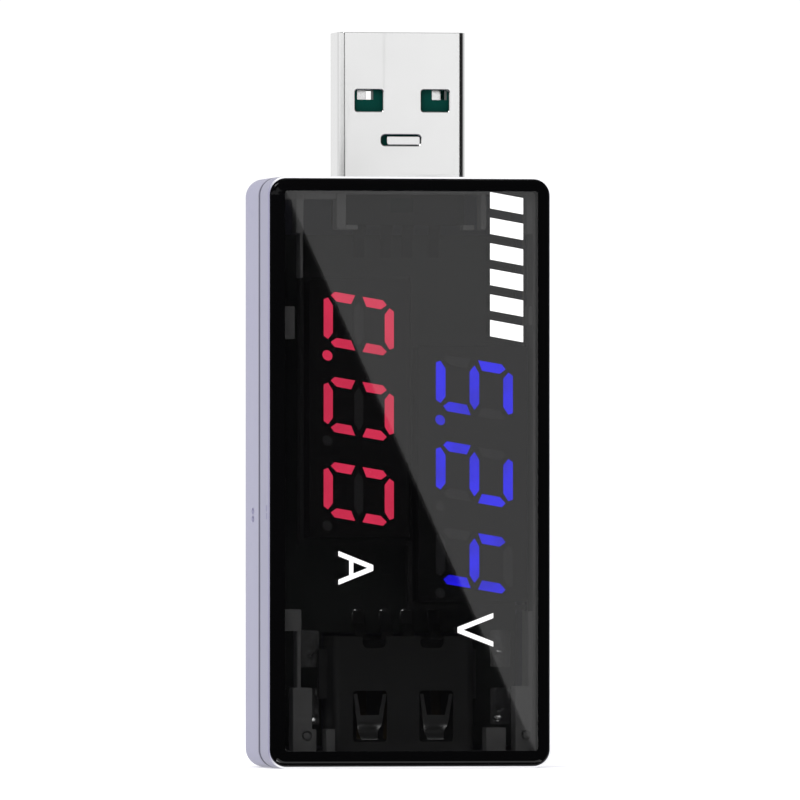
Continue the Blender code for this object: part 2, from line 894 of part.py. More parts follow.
def make_socket_insulator():
    """The socket's tongue on its base block, notched for the contacts."""
    inner_x = SOCKET_OPENING[0] / 2 - GAP
    inner_y = SOCKET_OPENING[1] / 2 - GAP
    block_low, block_high = SOCKET_BLOCK
    insulator = span(
        "socket_insulator",
        (-inner_x, inner_x),
        (-inner_y, inner_y),
        (block_low, block_high),
        black_plastic(),
    )
    tongue = span(
        "add_socket_tongue",
        (-TONGUE_HALF_WIDTH, TONGUE_HALF_WIDTH),
        (TONGUE_FACE, TONGUE_BACK),
        (TONGUE_TIP, block_low + PAST),
    )
    fuse(insulator, tongue)
    for name, x in CONTACTS.items():
        half = CONTACT_WIDTH / 2 + GAP
        carve(
            insulator,
            span(
                f"cut_socket_notch_{name}",
                (x - half, x + half),
                (-CONTACT_SHEET / 2 - GAP, TONGUE_FACE - 1e-5),
                (block_low - PAST, block_high + PAST),
            ),
        )
    return insulator


def make_socket_contacts():
    """Four springy beams in the socket, each with a fixed tail soldered to the board."""
    root = SOCKET_BLOCK[0] + 0.0005
    foot = BOARD_FRONT - GAP - CONTACT_SHEET / 2
    for name, x in CONTACTS.items():
        beam = ((0.0, -0.0010), (-0.0006, -0.0048), (-0.0006, -0.0058), (-0.0001, -0.0072))
        bent_strip(
            f"socket_contact_{name}", (x, 0.0, root), beam, CONTACT_WIDTH, CONTACT_SHEET, gold_plate()
        )
        tail_root = root + GAP
        rise = SOCKET_END + GAP - tail_root
        tail = ((0.0, rise), (foot, rise + 0.0008), (foot, rise + 0.0020))
        bent_strip(
            f"socket_tail_{name}",
            (x, 0.0, tail_root),
            tail,
            CONTACT_WIDTH,
            CONTACT_SHEET,
            gold_plate(),
        )


def make_socket_springs():
    """Four leaves that grip an inserted plug, bowed into the socket."""
    wall = SOCKET_OPENING[1] / 2 + SOCKET_SHEET / 2
    for face, face_name in ((-1, "front"), (1, "back")):
        for side, side_name in ((-1, "left"), (1, "right")):
            bends = (
                (-face * 0.0001, -0.0007),
                (-face * 0.00055, -0.0021),
                (-face * 0.00055, -0.0029),
                (-face * 0.00010, -0.0040),
            )
            bent_strip(
                f"socket_spring_{face_name}_{side_name}",
                (side * SPRING_ACROSS, face * wall, SPRING_ROOT),
                bends,
                SPRING_WIDTH,
                SPRING_SHEET,
                nickel_plate(),
            )


def build():
    clear_scene()
    make_front_frame()
    make_back_shell()
    make_window()
    make_display("ammeter", DISPLAYS["ammeter"], red_resin())
    make_display("voltmeter", DISPLAYS["voltmeter"], blue_resin())
    make_display_spacer()
    make_board()
    make_chip()
    make_small_parts()
    make_plug_shell()
    make_plug_insulator()
    make_plug_contacts()
    make_socket_shell()
    make_socket_insulator()
    make_socket_contacts()
    make_socket_springs()


build()
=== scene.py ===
"""Looks of a USB power meter: case, smoked window, lit displays, board, plug and socket."""

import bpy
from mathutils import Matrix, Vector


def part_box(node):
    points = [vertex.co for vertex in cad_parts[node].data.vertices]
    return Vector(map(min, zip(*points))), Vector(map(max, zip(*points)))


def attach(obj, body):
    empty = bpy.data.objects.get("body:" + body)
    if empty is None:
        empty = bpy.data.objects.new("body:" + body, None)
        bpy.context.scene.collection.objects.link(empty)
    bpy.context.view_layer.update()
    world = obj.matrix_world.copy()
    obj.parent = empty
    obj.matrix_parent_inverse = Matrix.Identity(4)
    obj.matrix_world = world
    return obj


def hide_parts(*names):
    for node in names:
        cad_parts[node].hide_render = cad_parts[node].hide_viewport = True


bl_info = {
    "name": "USB Power Meter Looks",
    "version": (1, 0, 0),
    "blender": (4, 5, 0),
    "location": "3D View > Sidebar > Meter",
    "description": "Builds the fine meshes, materials and stage of a USB power meter",
    "category": "Object",
}

from math import atan2, cos, pi, radians, sin

import bmesh
import bpy
from bpy.props import FloatProperty, FloatVectorProperty, PointerProperty
from mathutils import Matrix, Vector

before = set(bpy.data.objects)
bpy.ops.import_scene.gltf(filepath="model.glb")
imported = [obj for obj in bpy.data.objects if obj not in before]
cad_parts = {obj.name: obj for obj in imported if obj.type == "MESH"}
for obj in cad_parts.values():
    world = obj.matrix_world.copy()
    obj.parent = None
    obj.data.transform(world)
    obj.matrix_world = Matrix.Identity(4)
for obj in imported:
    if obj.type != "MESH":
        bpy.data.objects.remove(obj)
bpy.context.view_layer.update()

MM = 0.001
CASE_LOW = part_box("front_frame")[0]
CASE_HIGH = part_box("back_shell")[1]
CASE_HEIGHT = CASE_HIGH.z
HALF_WIDTH = CASE_HIGH.x
HALF_DEPTH = CASE_HIGH.y
WINDOW_LOW, WINDOW_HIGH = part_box("window")
PLUG_LOW, PLUG_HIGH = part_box("plug_shell")
SOCKET_LOW, SOCKET_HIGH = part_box("socket_shell")
BOARD_LOW, BOARD_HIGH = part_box("main_board")
WALL = 1.55 * MM
PAST = 1.0 * MM
CONTACTS = ("power", "data_minus", "data_plus", "ground")
SPRINGS = ("front_left", "front_right", "back_left", "back_right")

# How a digit's bars are named: a on top, then clockwise b, c, d, e and f, with g in the middle
DIGIT_BARS = {"0": "abcdef", "2": "abdeg", "4": "bcfg", "5": "acdfg"}
DISPLAYS = {
    "ammeter": {
        "reading": ("0.", "0", "0"),
        "across": -4.57 * MM,
        "pitch": 7.82 * MM,
        "bar_spacing": 5.70 * MM,
        "side_spacing": 4.20 * MM,
        "stroke": 0.86 * MM,
        "point": (3.42 * MM, -2.93 * MM),
        "point_radius": 0.47 * MM,
        "slot": "red_resin",
    },
    "voltmeter": {
        "reading": ("5.", "2", "4"),
        "across": 6.24 * MM,
        "pitch": 7.95 * MM,
        "bar_spacing": 6.31 * MM,
        "side_spacing": 4.28 * MM,
        "stroke": 0.90 * MM,
        "point": (3.51 * MM, -3.20 * MM),
        "point_radius": 0.46 * MM,
        "slot": "blue_resin",
    },
}
DIGIT_SLANT = 0.170


# Settings


class CaseSettings(bpy.types.PropertyGroup):
    """Sizes and colours of the two moulded shells."""

    colour: FloatVectorProperty(
        name="Case colour",
        description="Colour of the moulded shells",
        subtype="COLOR",
        default=(0.322, 0.318, 0.442),
        min=0.0,
        max=1.0,
    )
    rim: FloatProperty(
        name="Rim",
        description="Width of the frame's rim round the window",
        unit="LENGTH",
        default=0.17 * MM,
    )
    corner: FloatProperty(
        name="Corner radius",
        description="Radius of the frame's corners, seen from the front",
        unit="LENGTH",
        default=1.7 * MM,
    )
    back_round: FloatProperty(
        name="Back rounding",
        description="Radius of the edge round the back of the case",
        unit="LENGTH",
        default=0.8 * MM,
    )


class WindowSettings(bpy.types.PropertyGroup):
    """Shape and tint of the smoked window."""

    tint: FloatVectorProperty(
        name="Tint",
        description="Body colour of the smoked plastic",
        subtype="COLOR",
        default=(0.0016, 0.0016, 0.0018),
        min=0.0,
        max=1.0,
    )
    cover: FloatProperty(
        name="Cover",
        description="How much of the light each face of the clear part stops",
        subtype="FACTOR",
        default=0.55,
        min=0.0,
        max=1.0,
    )
    border: FloatProperty(
        name="Border",
        description="Width of the black border",
        unit="LENGTH",
        default=1.25 * MM,
    )


class DisplaySettings(bpy.types.PropertyGroup):
    """Colours of the lit and unlit bars."""

    red: FloatVectorProperty(
        name="Red glow",
        description="Colour of the lit bars of the current display",
        subtype="COLOR",
        default=(1.0, 0.046, 0.13),
        min=0.0,
        max=1.0,
    )
    blue: FloatVectorProperty(
        name="Blue glow",
        description="Colour of the lit bars of the voltage display",
        subtype="COLOR",
        default=(0.020, 0.012, 1.0),
        min=0.0,
        max=1.0,
    )
    red_glow: FloatProperty(
        name="Red strength",
        description="Strength of the lit bars of the current display",
        default=2.9,
        min=0.0,
    )
    blue_glow: FloatProperty(
        name="Blue strength",
        description="Strength of the lit bars of the voltage display",
        default=3.7,
        min=0.0,
    )


class MetalSettings(bpy.types.PropertyGroup):
    """Colours of the plated parts."""

    nickel: FloatVectorProperty(
        name="Nickel",
        description="Colour of the plug and the socket",
        subtype="COLOR",
        default=(0.75, 0.75, 0.75),
        min=0.0,
        max=1.0,
    )
    gilt: FloatVectorProperty(
        name="Gilt",
        description="Colour of the contacts",
        subtype="COLOR",
        default=(0.86, 0.62, 0.26),
        min=0.0,
        max=1.0,
    )


class StageSettings(bpy.types.PropertyGroup):
    """Camera, floor and lights."""

    azimuth: FloatProperty(
        name="Azimuth",
        description="How far the camera stands to the right of the front",
        subtype="ANGLE",
        default=radians(-10.7),
    )
    camera_height: FloatProperty(
        name="Camera height",
        description="Height of the camera above the floor",
        unit="LENGTH",
        default=22.7 * MM,
    )
    distance: FloatProperty(
        name="Distance",
        description="From the camera to the window",
        unit="LENGTH",
        default=1.2438,
    )
    softbox: FloatProperty(
        name="Softbox",
        description="Radiance of the panel that the window and the plug reflect",
        default=1.2,
        min=0.0,
    )
    sky: FloatProperty(
        name="Sky",
        description="Radiance of the studio on matt surfaces",
        default=0.92,
        min=0.0,
    )


# Meshes


def rounded_block(low, high, corner=0.0, axis=1, steps=8, loops=()):
    """A box between two corners as a bmesh, its edges along one axis rounded.

    Each loop is (axis, side, offset, steps): it rounds the outline of one end face.
    """
    low, high = Vector(low), Vector(high)
    middle = (low + high) / 2
    shape = bmesh.new()
    bmesh.ops.create_cube(shape, size=1.0)
    bmesh.ops.scale(shape, vec=high - low, verts=shape.verts)
    if corner:
        along = []
        for edge in shape.edges:
            run = edge.verts[0].co - edge.verts[1].co
            if abs(run[axis]) > 0.9 * run.length:
                along.append(edge)
        bmesh.ops.bevel(
            shape, geom=along, offset=corner, segments=steps, profile=0.5, affect="EDGES"
        )
    for end_axis, side, offset, end_steps in loops:
        level = side * (high - low)[end_axis] / 2
        ring = [e for e in shape.edges if all(abs(v.co[end_axis] - level) < 1e-7 for v in e.verts)]
        bmesh.ops.bevel(
            shape, geom=ring, offset=offset, segments=end_steps, profile=0.5, affect="EDGES"
        )
    bmesh.ops.translate(shape, vec=middle, verts=shape.verts)
    return shape


def new_object(name, shape, sharp=30.0):
    """Turn a bmesh into an object with smooth shading and sharp edges past an angle."""
    mesh = bpy.data.meshes.new(name)
    shape.to_mesh(mesh)
    shape.free()
    made = bpy.data.objects.new(name, mesh)
    bpy.context.scene.collection.objects.link(made)
    shade(made, sharp)
    return made


def clear_slivers(thing):
    """Merge points and faces that are too thin to see, which cutting leaves behind."""
    shape = bmesh.new()
    shape.from_mesh(thing.data)
    bmesh.ops.remove_doubles(shape, verts=shape.verts, dist=0.001 * MM)
    bmesh.ops.dissolve_degenerate(shape, dist=0.001 * MM, edges=shape.edges)
    shape.to_mesh(thing.data)
    shape.free()


def shade(thing, sharp):
    """Smooth shading with sharp edges past an angle, and flat faces kept flat."""
    thing.data.shade_smooth()
    thing.data.set_sharp_from_angle(angle=radians(sharp))
    weigh(thing)
    even_out(thing)


def settle(thing):
    """Replace an object's mesh by what its modifiers make of it."""
    bpy.context.view_layer.update()
    evaluated = thing.evaluated_get(bpy.context.evaluated_depsgraph_get())
    mesh = bpy.data.meshes.new_from_object(evaluated)
    thing.modifiers.clear()
    thing.data = mesh


def combine(thing, tools, operation):
    """Cut tools out of an object, or join them to it, and remove the tools."""
    for tool in tools:
        step = thing.modifiers.new(tool.name, "BOOLEAN")
        step.operation = operation
        step.object = tool
        step.solver = "EXACT"
    settle(thing)
    clear_slivers(thing)
    for tool in tools:
        bpy.data.objects.remove(tool)


def cut(thing, *tools):
    combine(thing, tools, "DIFFERENCE")


def join(thing, *tools):
    combine(thing, tools, "UNION")


def tool_block(x, y, z, **rounding):
    """A cutter or an addition given by its (low, high) ranges."""
    shape = rounded_block((x[0], y[0], z[0]), (x[1], y[1], z[1]), **rounding)
    return new_object("tool", shape)


def weigh(thing):
    """Let the normals follow the large faces of each rounding rather than its slivers."""
    weighted = thing.modifiers.new("normals", "WEIGHTED_NORMAL")
    weighted.mode = "FACE_AREA"
    weighted.weight = 50
    weighted.keep_sharp = True
    settle(thing)


def even_out(thing):
    """Give flat faces one normal and let the roundings beside them start from it.

    A face that runs straight along an axis keeps its normals square to that axis.
    """
    mesh = thing.data
    normals = [corner.vector.copy() for corner in mesh.corner_normals]
    beside, corners, flat = {}, {}, set()
    for polygon in mesh.polygons:
        for key in polygon.edge_keys:
            beside.setdefault(key, []).append(polygon)
        straight = [axis for axis in range(3) if abs(polygon.normal[axis]) < 1e-4]
        for corner, vertex in zip(polygon.loop_indices, polygon.vertices):
            corners[polygon.index, vertex] = corner
            for axis in straight:
                normals[corner][axis] = 0.0
            normals[corner].normalize()
        if max(abs(part) for part in polygon.normal) > 0.99999:
            flat.add(polygon.index)
            for corner in polygon.loop_indices:
                normals[corner] = Vector([round(part) for part in polygon.normal])
    for edge in mesh.edges:
        pair = beside.get(edge.key, [])
        if edge.use_edge_sharp or len(pair) != 2:
            continue
        for level, other in (pair, pair[::-1]):
            if level.index in flat and other.index not in flat:
                for vertex in edge.vertices:
                    normals[corners[other.index, vertex]] = Vector([round(n) for n in level.normal])
    mesh.normals_split_custom_set(normals)


def soften(thing, width, steps, angle, sharp):
    """Round the sharp edges of a finished mesh."""
    bevel = thing.modifiers.new("edge", "BEVEL")
    bevel.width = width
    bevel.segments = steps
    bevel.limit_method = "ANGLE"
    bevel.angle_limit = radians(angle)
    settle(thing)
    shade(thing, sharp)


def prisms(name, outlines, y_front, y_back, edge=0.0):
    """Outlines of (X, Z) points drawn back along Y, with a small chamfer on the front."""
    shape = bmesh.new()
    for outline in outlines:
        front = shape.faces.new([shape.verts.new((x, y_front, z)) for x, z in outline])
        drawn = bmesh.ops.extrude_face_region(shape, geom=[front])["geom"]
        far = [item for item in drawn if isinstance(item, bmesh.types.BMVert)]
        bmesh.ops.translate(shape, vec=(0.0, y_back - y_front, 0.0), verts=far)
        if edge:
            bmesh.ops.bevel(
                shape, geom=list(front.edges), offset=edge, segments=1, profile=0.5, affect="EDGES"
            )
    bmesh.ops.recalc_face_normals(shape, faces=shape.faces)
    return new_object(name, shape, sharp=25.0)


def smooth_path(points, steps):
    """A Catmull-Rom curve through a list of (Y, Z) points."""
    padded = [points[0], *points, points[-1]]
    path = []
    for i in range(1, len(padded) - 2):
        p0, p1, p2, p3 = (Vector(p) for p in padded[i - 1 : i + 3])
        for step in range(steps):
            t = step / steps
            path.append(
                0.5
                * (
                    2 * p1
                    + (p2 - p0) * t
                    + (2 * p0 - 5 * p1 + 4 * p2 - p3) * t**2
                    + (3 * p1 - p0 - 3 * p2 + p3) * t**3
                )
            )
    path.append(Vector(points[-1]))
    return path


def curved_strip(name, x, path, widths, thickness):
    """A strip of spring metal that follows a (Y, Z) path, its width eased along it."""
    shape = bmesh.new()
    rows = []
    for i, point in enumerate(path):
        share = i / (len(path) - 1)
        half = (widths[0] + (widths[1] - widths[0]) * share) / 2
        rows.append([shape.verts.new((x + side * half, point.x, point.y)) for side in (-1, 0, 1)])
    for before, after in zip(rows, rows[1:]):
        for i in range(2):
            shape.faces.new((before[i], before[i + 1], after[i + 1], after[i]))
    strip = new_object(name, shape)
    sheet = strip.modifiers.new("sheet", "SOLIDIFY")
    sheet.thickness = thickness
    sheet.offset = 0.0
    settle(strip)
    soften(strip, thickness * 0.28, steps=2, angle=50.0, sharp=50.0)
    return strip


def dress(thing, material, node=None, body="case"):
    """Give a piece its material, its body and the CAD node it stands for."""
    thing.data.materials.clear()
    thing.data.materials.append(material)
    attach(thing, body)
    if node:
        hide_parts(node)


def repaint(node, material, edge):
    """Keep a CAD node, with a finished material and softened edges."""
    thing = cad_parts[node]
    thing.data.materials.clear()
    thing.data.materials.append(material)
    bevel = thing.modifiers.new("edge", "BEVEL")
    bevel.width = edge
    bevel.segments = 2
    bevel.limit_method = "ANGLE"
    bevel.angle_limit = radians(40)


# Shader groups and materials


class Graph:
    """Adds nodes to a node tree: settings by attribute, inputs by value or by link."""

    def __init__(self, tree):
        self.tree = tree

    def add(self, kind, inputs=None, **settings):
        node = self.tree.nodes.new(kind)
        for key, value in settings.items():
            setattr(node, key, value)
        for key, value in (inputs or {}).items():
            if isinstance(value, bpy.types.NodeSocket):
                self.tree.links.new(value, node.inputs[key])
            else:
                node.inputs[key].default_value = value
        return node

    def stretch(self, value, low, high):
        """Map a 0 to 1 value to a range."""
        spread = self.add(
            "ShaderNodeMapRange", {"Value": value, "To Min": low, "To Max": high}, clamp=True
        )
        return spread.outputs["Result"]

    def between(self, factor, first, second):
        """Mix two colours, each given as three numbers or as a link."""
        mix = self.add("ShaderNodeMix", data_type="RGBA")
        self.tree.links.new(factor, mix.inputs[0])
        for socket, colour in ((mix.inputs[6], first), (mix.inputs[7], second)):
            if isinstance(colour, bpy.types.NodeSocket):
                self.tree.links.new(colour, socket)
            else:
                socket.default_value = (*colour, 1.0)
        return mix.outputs[2]


def start_group(name, inputs, outputs):
    """A new shader group with float inputs and outputs, and its graph and ends."""
    tree = bpy.data.node_groups.new(name, "ShaderNodeTree")
    for label, value in inputs:
        socket = tree.interface.new_socket(label, in_out="INPUT", socket_type="NodeSocketFloat")
        socket.default_value = value
    for label in outputs:
        tree.interface.new_socket(label, in_out="OUTPUT", socket_type="NodeSocketFloat")
    graph = Graph(tree)
    return tree, graph, graph.add("NodeGroupInput"), graph.add("NodeGroupOutput")


def grain_group():
    """Fine moulded grain: its height, and a slow change of tone."""
    found = bpy.data.node_groups.get("moulded grain")
    if found:
        return found
    tree, graph, inside, outside = start_group(
        "moulded grain", (("Grain Size", 9000.0), ("Tone Size", 160.0)), ("Height", "Tone")
    )
    spot = graph.add("ShaderNodeTexCoord").outputs["Object"]
    fine = graph.add(
        "ShaderNodeTexNoise",
        {"Vector": spot, "Scale": inside.outputs["Grain Size"], "Detail": 3.0, "Roughness": 0.6},
    )
    slow = graph.add(
        "ShaderNodeTexNoise",
        {"Vector": spot, "Scale": inside.outputs["Tone Size"], "Detail": 2.0, "Roughness": 0.5},
    )
    tree.links.new(fine.outputs["Fac"], outside.inputs["Height"])
    tree.links.new(slow.outputs["Fac"], outside.inputs["Tone"])
    return tree


def scuff_group():
    """Hairline scuffs: a mask of thin stretched marks in two directions."""
    found = bpy.data.node_groups.get("scuffs")
    if found:
        return found
    tree, graph, inside, outside = start_group(
        "scuffs", (("Size", 700.0), ("Amount", 0.62)), ("Mask",)
    )
    spot = graph.add("ShaderNodeTexCoord").outputs["Object"]
    masks = []
    for turn, squeeze in ((0.4, (1.0, 1.0, 0.05)), (-0.9, (0.06, 1.0, 1.0))):
        laid = graph.add(
            "ShaderNodeMapping", {"Vector": spot, "Rotation": (0.0, turn, 0.0), "Scale": squeeze}
        )
        marks = graph.add(
            "ShaderNodeTexNoise",
            {"Vector": laid.outputs["Vector"], "Scale": inside.outputs["Size"], "Detail": 4.0},
        )
        picked = graph.add(
            "ShaderNodeMapRange",
            {"Value": marks.outputs["Fac"], "From Min": inside.outputs["Amount"], "From Max": 0.8},
            clamp=True,
        )
        masks.append(picked.outputs["Result"])
    both = graph.add("ShaderNodeMath", operation="MAXIMUM")
    tree.links.new(masks[0], both.inputs[0])
    tree.links.new(masks[1], both.inputs[1])
    tree.links.new(both.outputs[0], outside.inputs["Mask"])
    return tree


def brushing_group():
    """Rolling lines of sheet metal along the part: height and mask."""
    found = bpy.data.node_groups.get("rolled metal")
    if found:
        return found
    tree, graph, inside, outside = start_group("rolled metal", (("Size", 5200.0),), ("Height", "Mask"))
    spot = graph.add("ShaderNodeTexCoord").outputs["Object"]
    laid = graph.add("ShaderNodeMapping", {"Vector": spot, "Scale": (1.0, 1.0, 0.03)})
    lines = graph.add(
        "ShaderNodeTexNoise",
        {"Vector": laid.outputs["Vector"], "Scale": inside.outputs["Size"], "Detail": 3.0},
    )
    cloudy = graph.add("ShaderNodeTexNoise", {"Vector": spot, "Scale": 240.0, "Detail": 2.0})
    tree.links.new(lines.outputs["Fac"], outside.inputs["Height"])
    tree.links.new(cloudy.outputs["Fac"], outside.inputs["Mask"])
    return tree


def inside_group():
    """A mask that is 1 inside the case: within Half Width, before Back and from Bottom to Top."""
    found = bpy.data.node_groups.get("inside the case")
    if found:
        return found
    tree, graph, inside, outside = start_group(
        "inside the case",
        (("Half Width", 12.3 * MM), ("Back", 0.0), ("Bottom", 1.0 * MM), ("Top", 53.3 * MM)),
        ("Mask",),
    )
    spot = graph.add("ShaderNodeTexCoord").outputs["Object"]
    axes = graph.add("ShaderNodeSeparateXYZ", {"Vector": spot}).outputs
    width = graph.add("ShaderNodeMath", {0: axes["X"]}, operation="ABSOLUTE").outputs[0]
    tests = [
        graph.add("ShaderNodeMath", {0: first, 1: second}, operation="LESS_THAN").outputs[0]
        for first, second in (
            (width, inside.outputs["Half Width"]),
            (axes["Y"], inside.outputs["Back"]),
            (inside.outputs["Bottom"], axes["Z"]),
            (axes["Z"], inside.outputs["Top"]),
        )
    ]
    mask = tests[0]
    for test in tests[1:]:
        mask = graph.add("ShaderNodeMath", {0: mask, 1: test}, operation="MULTIPLY").outputs[0]
    tree.links.new(mask, outside.inputs["Mask"])
    return tree


def depth_band_group():
    """A mask that is 1 within a reach of one depth and fades out beyond it."""
    found = bpy.data.node_groups.get("depth band")
    if found:
        return found
    tree, graph, inside, outside = start_group(
        "depth band", (("Middle", 0.0), ("Reach", 0.1 * MM), ("Fade", 0.1 * MM)), ("Mask",)
    )
    spot = graph.add("ShaderNodeTexCoord").outputs["Object"]
    depth = graph.add("ShaderNodeSeparateXYZ", {"Vector": spot}).outputs["Y"]
    away = graph.add("ShaderNodeMath", {0: depth, 1: inside.outputs["Middle"]}, operation="SUBTRACT")
    size = graph.add("ShaderNodeMath", {0: away.outputs[0]}, operation="ABSOLUTE").outputs[0]
    past = graph.add("ShaderNodeMath", {0: size, 1: inside.outputs["Reach"]}, operation="SUBTRACT")
    share = graph.add(
        "ShaderNodeMath", {0: past.outputs[0], 1: inside.outputs["Fade"]}, operation="DIVIDE"
    )
    mask = graph.add(
        "ShaderNodeMath", {0: 1.0, 1: share.outputs[0]}, operation="SUBTRACT", use_clamp=True
    )
    tree.links.new(mask.outputs[0], outside.inputs["Mask"])
    return tree


def start_material(name):
    material = bpy.data.materials.new(name)
    material.use_nodes = True
    return material, Graph(material.node_tree), material.node_tree.nodes["Principled BSDF"]


def use_group(graph, tree, **inputs):
    node = graph.add("ShaderNodeGroup", node_tree=tree)
    for key, value in inputs.items():
        node.inputs[key.replace("_", " ")].default_value = value
    return node


def bump(graph, shader, height, strength, distance):
    bumped = graph.add(
        "ShaderNodeBump", {"Height": height, "Strength": strength, "Distance": distance}
    )
    graph.tree.links.new(bumped.outputs["Normal"], shader.inputs["Normal"])


def tinted(colour, factor):
    return tuple(min(1.0, channel * factor) for channel in colour)


def moulded_plastic(name, colour, roughness, change, depth=0.004 * MM):
    """Moulded plastic: fine grain, a slow change of tone and a few hairline scuffs."""
    material, graph, shader = start_material(name)
    texture = use_group(graph, grain_group())
    marks = use_group(graph, scuff_group())
    colours = graph.between(
        texture.outputs["Tone"], tinted(colour, 1 - change), tinted(colour, 1 + change)
    )
    rough = graph.stretch(texture.outputs["Tone"], roughness - 0.04, roughness + 0.04)
    worn = graph.add("ShaderNodeMath", {1: 0.08, 2: rough}, operation="MULTIPLY_ADD")
    graph.tree.links.new(marks.outputs["Mask"], worn.inputs[0])
    graph.tree.links.new(worn.outputs[0], shader.inputs["Roughness"])
    graph.tree.links.new(colours, shader.inputs["Base Color"])
    bump(graph, shader, texture.outputs["Height"], 0.35, depth)
    return material


def case_plastic(name, colour):
    """Moulded plastic with painted shade along the seam, a greyer inside and a painted highlight on the
    rim.

    The painted rim highlight is left out along the left side.
    """
    material = moulded_plastic(name, colour, 0.40, change=0.025, depth=0.003 * MM)
    shader = material.node_tree.nodes["Principled BSDF"]
    graph = Graph(material.node_tree)
    shell = shader.inputs["Base Color"].links[0].from_socket
    inner = use_group(graph, inside_group()).outputs["Mask"]
    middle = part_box("front_frame")[1].y + 0.13 * MM
    # painted shade: a band round the parting line is painted darker to stand for the shade in the groove
    seam = use_group(graph, depth_band_group(), Middle=middle, Reach=0.36 * MM, Fade=0.30 * MM)
    rim = use_group(graph, depth_band_group(), Middle=CASE_LOW.y, Reach=0.04 * MM, Fade=0.05 * MM)
    within = graph.between(inner, shell, (0.60, 0.60, 0.60))
    seam_shade_painted = graph.between(seam.outputs["Mask"], within, tinted(colour, 0.42))
    spot = graph.add("ShaderNodeTexCoord").outputs["Object"]
    across = graph.add("ShaderNodeSeparateXYZ", {"Vector": spot}).outputs["X"]
    # painted highlight: the front rim is painted pale for the light its rounded edge catches, fading out
    # towards the left side
    plain_to, pale_from = -HALF_WIDTH + 0.12 * MM, -HALF_WIDTH + 0.90 * MM
    pale = graph.add(
        "ShaderNodeMapRange", {"Value": across, "From Min": plain_to, "From Max": pale_from}
    ).outputs["Result"]
    bright = graph.add("ShaderNodeMath", {0: rim.outputs["Mask"], 1: pale}, operation="MULTIPLY")
    rim_highlight_painted = graph.between(bright.outputs[0], seam_shade_painted, (0.80, 0.80, 0.82))
    graph.tree.links.new(rim_highlight_painted, shader.inputs["Base Color"])
    shader.inputs["Specular IOR Level"].default_value = 0.3
    return material


def smoked_plastic(name, settings, cover, gloss=0.7):
    """Polished smoked plastic. Below full cover it lets part of the light through."""
    material, graph, shader = start_material(name)
    texture = use_group(graph, grain_group(), Grain_Size=240.0, Tone_Size=60.0)
    colours = graph.between(
        texture.outputs["Tone"], tinted(settings.tint, 0.7), tinted(settings.tint, 1.3)
    )
    graph.tree.links.new(colours, shader.inputs["Base Color"])
    rough = graph.stretch(texture.outputs["Height"], 0.004, 0.012)
    graph.tree.links.new(rough, shader.inputs["Roughness"])
    shader.inputs["IOR"].default_value = 1.5
    shader.inputs["Specular IOR Level"].default_value = gloss
    shader.inputs["Alpha"].default_value = cover
    return material


def sheet_metal(name, colour, roughness, inner=0.35):
    """Plated sheet metal with faint rolling lines, and painted shade where the case shuts it in: the
    colour times inner, and rougher.
    """
    material, graph, shader = start_material(name)
    rolled = use_group(graph, brushing_group())
    marks = use_group(graph, scuff_group(), Size=1100.0, Amount=0.66)
    colours = graph.between(rolled.outputs["Mask"], tinted(colour, 0.97), tinted(colour, 1.03))
    # painted shade: inside the case the metal is painted darker by the factor inner and made rougher
    painted_shade_inside = use_group(graph, inside_group(), Back=HALF_DEPTH).outputs["Mask"]
    shaded = graph.between(painted_shade_inside, colours, tinted(colour, inner))
    graph.tree.links.new(shaded, shader.inputs["Base Color"])
    rough = graph.stretch(rolled.outputs["Mask"], roughness - 0.03, roughness + 0.03)
    worn = graph.add("ShaderNodeMath", {1: 0.05, 2: rough}, operation="MULTIPLY_ADD")
    graph.tree.links.new(marks.outputs["Mask"], worn.inputs[0])
    dulled = graph.add(
        "ShaderNodeMath", {0: painted_shade_inside, 1: 0.3, 2: worn.outputs[0]}, operation="MULTIPLY_ADD"
    )
    graph.tree.links.new(dulled.outputs[0], shader.inputs["Roughness"])
    shader.inputs["Metallic"].default_value = 1.0
    bump(graph, shader, rolled.outputs["Height"], 0.06, 0.002 * MM)
    return material


def lit_resin(name, colour, strength, dim):
    """Diffusing resin lit from behind, a little brighter over the light inside."""
    material, graph, shader = start_material(name)
    texture = use_group(graph, grain_group(), Grain_Size=2500.0, Tone_Size=330.0)
    spread = graph.add(
        "ShaderNodeMapRange", {"Value": texture.outputs["Tone"], "From Min": 0.3, "From Max": 0.6}
    )
    glow = graph.between(spread.outputs["Result"], tinted(colour, dim), tinted(colour, 1.0))
    graph.tree.links.new(glow, shader.inputs["Emission Color"])
    body = graph.between(texture.outputs["Height"], tinted(colour, 0.25), tinted(colour, 0.35))
    graph.tree.links.new(body, shader.inputs["Base Color"])
    shader.inputs["Emission Strength"].default_value = strength
    shader.inputs["Roughness"].default_value = 0.45
    return material


def circuit_laminate(name, colour):
    """Solder mask over laminate: dark, with tracks that show as a slight relief."""
    material, graph, shader = start_material(name)
    spot = graph.add("ShaderNodeTexCoord").outputs["Object"]
    tracks = graph.add(
        "ShaderNodeTexBrick",
        {
            "Vector": spot,
            "Scale": 420.0,
            "Mortar Size": 0.06,
            "Color1": (0.0, 0.0, 0.0, 1.0),
            "Color2": (0.15, 0.15, 0.15, 1.0),
            "Mortar": (1.0, 1.0, 1.0, 1.0),
        },
    )
    texture = use_group(graph, grain_group(), Grain_Size=6000.0)
    mask = graph.add("ShaderNodeMath", {1: 0.6}, operation="MULTIPLY")
    graph.tree.links.new(tracks.outputs["Color"], mask.inputs[0])
    colours = graph.between(mask.outputs[0], colour, tinted(colour, 2.0))
    graph.tree.links.new(colours, shader.inputs["Base Color"])
    rough = graph.stretch(texture.outputs["Tone"], 0.32, 0.42)
    graph.tree.links.new(rough, shader.inputs["Roughness"])
    bump(graph, shader, mask.outputs[0], 0.4, 0.02 * MM)
    return material


